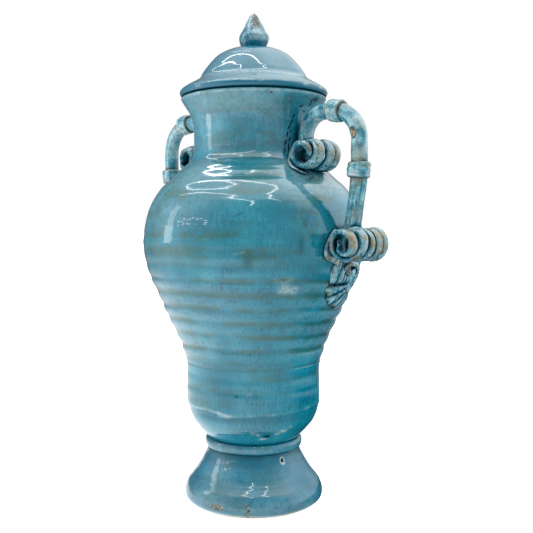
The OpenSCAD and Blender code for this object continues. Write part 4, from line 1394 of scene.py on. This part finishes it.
# the glow fades out in a wedge to the right and behind: a painted shadow of the vase on the floor, seen only
# in the glaze
to_dark = fg.toward(spot_at.outputs["Vector"], CAM_RIGHT * 0.951 - CAM_BACK * 0.309)
glow = fg.add(fg.times(to_right, -1.15), fg.times(to_front, 0.40), 1.6)
glow = fg.times(glow, fg.level(to_dark, 0.62, 0.94, 1.0, 0.04))
far_off = fg.node("ShaderNodeVectorMath", operation="LENGTH")
fg.links.new(fg.node("ShaderNodeTexCoord").outputs["Object"], far_off.inputs[0])
blend = fg.level(fg.math("DIVIDE", 0.26, far_off.outputs["Value"]), 0.03, 0.55, 1.0, 0.0)
glow = fg.add(fg.times(glow, fg.math("SUBTRACT", 1.0, blend)),
              fg.times(horizon(fg, to_right, to_front), blend))
seen = fg.node("ShaderNodeLightPath")
even_light = fg.add(fg.times(to_right, -0.8), fg.times(to_front, 0.5), 2.2)
matt = seen.outputs["Is Diffuse Ray"]
glow = fg.add(fg.times(glow, fg.math("SUBTRACT", 1.0, matt)), fg.times(even_light, matt))
glow = fg.times(glow, 1 / EXPOSE)
room = fg.node("ShaderNodeEmission")
room.inputs["Color"].default_value = (1.0, 1.0, 1.0, 1.0)
fg.links.new(glow, room.inputs["Strength"])
choose = fg.node("ShaderNodeMixShader")
fg.links.new(seen.outputs["Is Camera Ray"], choose.inputs["Fac"])
fg.links.new(room.outputs["Emission"], choose.inputs[1])
fg.links.new(fg.bsdf.outputs["BSDF"], choose.inputs[2])
fg.links.new(choose.outputs["Shader"],
             next(n for n in fg.nodes if n.type == "OUTPUT_MATERIAL").inputs["Surface"])
floor.data.materials.append(fg.mat)

world = bpy.data.worlds.new("studio")
bpy.context.scene.world = world
wg = WorldGraph(world)
sky = wg.node("ShaderNodeTexCoord").outputs["Generated"]
up = wg.toward(sky, UP)
right = wg.toward(sky, CAM_RIGHT)
front = wg.toward(sky, CAM_BACK)
# Low in front, where the person with the camera stands, it is darker
person = wg.times(wg.level(front, 0.30, 0.62), wg.level(up, 0.72, 0.93, 1.0, 0.0), 0.95)
high = wg.times(wg.level(up, 0.34, 0.80), wg.math("SUBTRACT", 1.0, person))
pale_side = wg.toward(sky, CAM_RIGHT * 0.60 - CAM_BACK * 0.40 + UP * 0.69)
light = wg.add(wg.times(horizon(wg, right, front), wg.math("SUBTRACT", 1.0, high)),
               wg.times(wg.add(2.45, wg.level(up, 0.65, 0.95, 0.0, 1.5)),
                        wg.level(front, -0.80, 0.10, 0.45, 1.0), high),
               wg.level(pale_side, 0.58, 0.94, 0.0, 1.6))
light = wg.times(light, 1 / EXPOSE)
w_room = wg.node("ShaderNodeBackground")
w_white = wg.node("ShaderNodeBackground")
w_room.inputs["Color"].default_value = (0.97, 0.985, 1.0, 1.0)
w_white.inputs["Color"].default_value = (1.0, 1.0, 1.0, 1.0)
w_white.inputs["Strength"].default_value = 1.0
wg.links.new(light, w_room.inputs["Strength"])
w_mix = wg.node("ShaderNodeMixShader")
wg.links.new(wg.node("ShaderNodeLightPath").outputs["Is Camera Ray"], w_mix.inputs["Fac"])
wg.links.new(w_room.outputs["Background"], w_mix.inputs[1])
wg.links.new(w_white.outputs["Background"], w_mix.inputs[2])
wg.links.new(w_mix.outputs["Shader"], wg.node("ShaderNodeOutputWorld").inputs["Surface"])


def lamp(name, at, size, radiance, turn):
    """An area light at (right, toward the camera, up), its size, and its turn as an Euler angle."""
    data = bpy.data.lights.new(name, "AREA")
    data.shape = "RECTANGLE"
    data.size, data.size_y = size
    data.energy = radiance * math.pi * size[0] * size[1]
    obj = bpy.data.objects.new(name, data)
    obj.location = CAM_RIGHT * at[0] + CAM_BACK * at[1] + UP * at[2]
    obj.rotation_euler = turn
    obj.visible_camera = False
    bpy.context.scene.collection.objects.link(obj)
    return obj


def ceiling_tube(name, start, stop, radiance, up=1.75, width=0.03):
    """A thin lamp overhead facing straight down, from start to stop as (right, toward the camera)."""
    a = CAM_RIGHT * start[0] + CAM_BACK * start[1]
    b = CAM_RIGHT * stop[0] + CAM_BACK * stop[1]
    along = b - a
    middle = ((start[0] + stop[0]) / 2, (start[1] + stop[1]) / 2, up)
    lamp(name, middle, (along.length, width), radiance, (0.0, 0.0, math.atan2(along.y, along.x)))


ceiling_tube("tube_1", (-1.90, -0.60), (0.00, 1.35), 20.0)
ceiling_tube("tube_1_end", (0.00, 1.35), (-0.10, 1.55), 20.0)
ceiling_tube("tube_2", (-0.90, -0.65), (0.50, 0.45), 20.0)
ceiling_tube("tube_2_bend", (0.50, 0.45), (0.30, 0.85), 20.0)
ceiling_tube("tube_2_end", (0.30, 0.85), (0.80, 1.15), 20.0)
ceiling_tube("tube_3", (-0.55, -0.75), (-0.10, -0.25), 16.0, width=0.018)
# A hanging oval ring lamp, low enough that only the shoulder mirrors it
RING_AT, RING_LONG, RING_WIDE, RING_TURN, RING_PARTS = (-0.24, 0.01), 0.20, 0.085, math.radians(45.0), 12
oval = []
for i in range(RING_PARTS + 1):
    along, across = RING_LONG * math.cos(TAU * i / RING_PARTS), RING_WIDE * math.sin(TAU * i / RING_PARTS)
    oval.append((RING_AT[0] + along * math.cos(RING_TURN) - across * math.sin(RING_TURN),
                 RING_AT[1] + along * math.sin(RING_TURN) + across * math.cos(RING_TURN)))
for i, (start, stop) in enumerate(zip(oval, oval[1:])):
    ceiling_tube("ring_lamp_%02d" % i, start, stop, 20.0, up=0.66, width=0.006)
TO_THE_RIGHT = (math.pi / 2, 0.0, AZIMUTH - math.pi / 2)
TO_THE_LEFT = (math.pi / 2, 0.0, AZIMUTH + math.pi / 2)
# A row of small distant lights along a far wall
for i in range(11):
    turn = math.radians(172.0 - 3.6 * i - 1.0 * math.sin(i * 2.3))
    far = ((1.25 * math.cos(turn), 1.25 * math.sin(turn),
            0.71 + 0.016 * math.sin(i * 4.1) - 0.0026 * (i - 6) ** 2))
    lamp("wall_light_%02d" % i, far, (0.055, 0.020), 9.0, (math.pi / 2, 0.0, AZIMUTH - turn + math.pi / 2))
lamp("left_window", (-0.56, 0.015, 0.310), (0.11, 0.17), 3.2, TO_THE_RIGHT)
lamp("left_window_top", (-0.56, 0.020, 0.490), (0.08, 0.19), 2.0, TO_THE_RIGHT)
# Soft fills on both sides, which the glaze does not mirror
right_fill = lamp("right_fill", (1.3, 0.15, 0.38), (1.1, 1.0), 3.5, TO_THE_LEFT)
right_fill.visible_glossy = False
left_fill = lamp("left_fill", (-1.3, 0.30, 0.42), (1.1, 1.0), 1.8, TO_THE_RIGHT)
left_fill.visible_glossy = False
for fill in (right_fill, left_fill):
    fill.data.color = (0.85, 0.97, 1.08)

bpy.context.scene.view_settings.view_transform = "Standard"
bpy.context.scene.view_settings.look = "None"
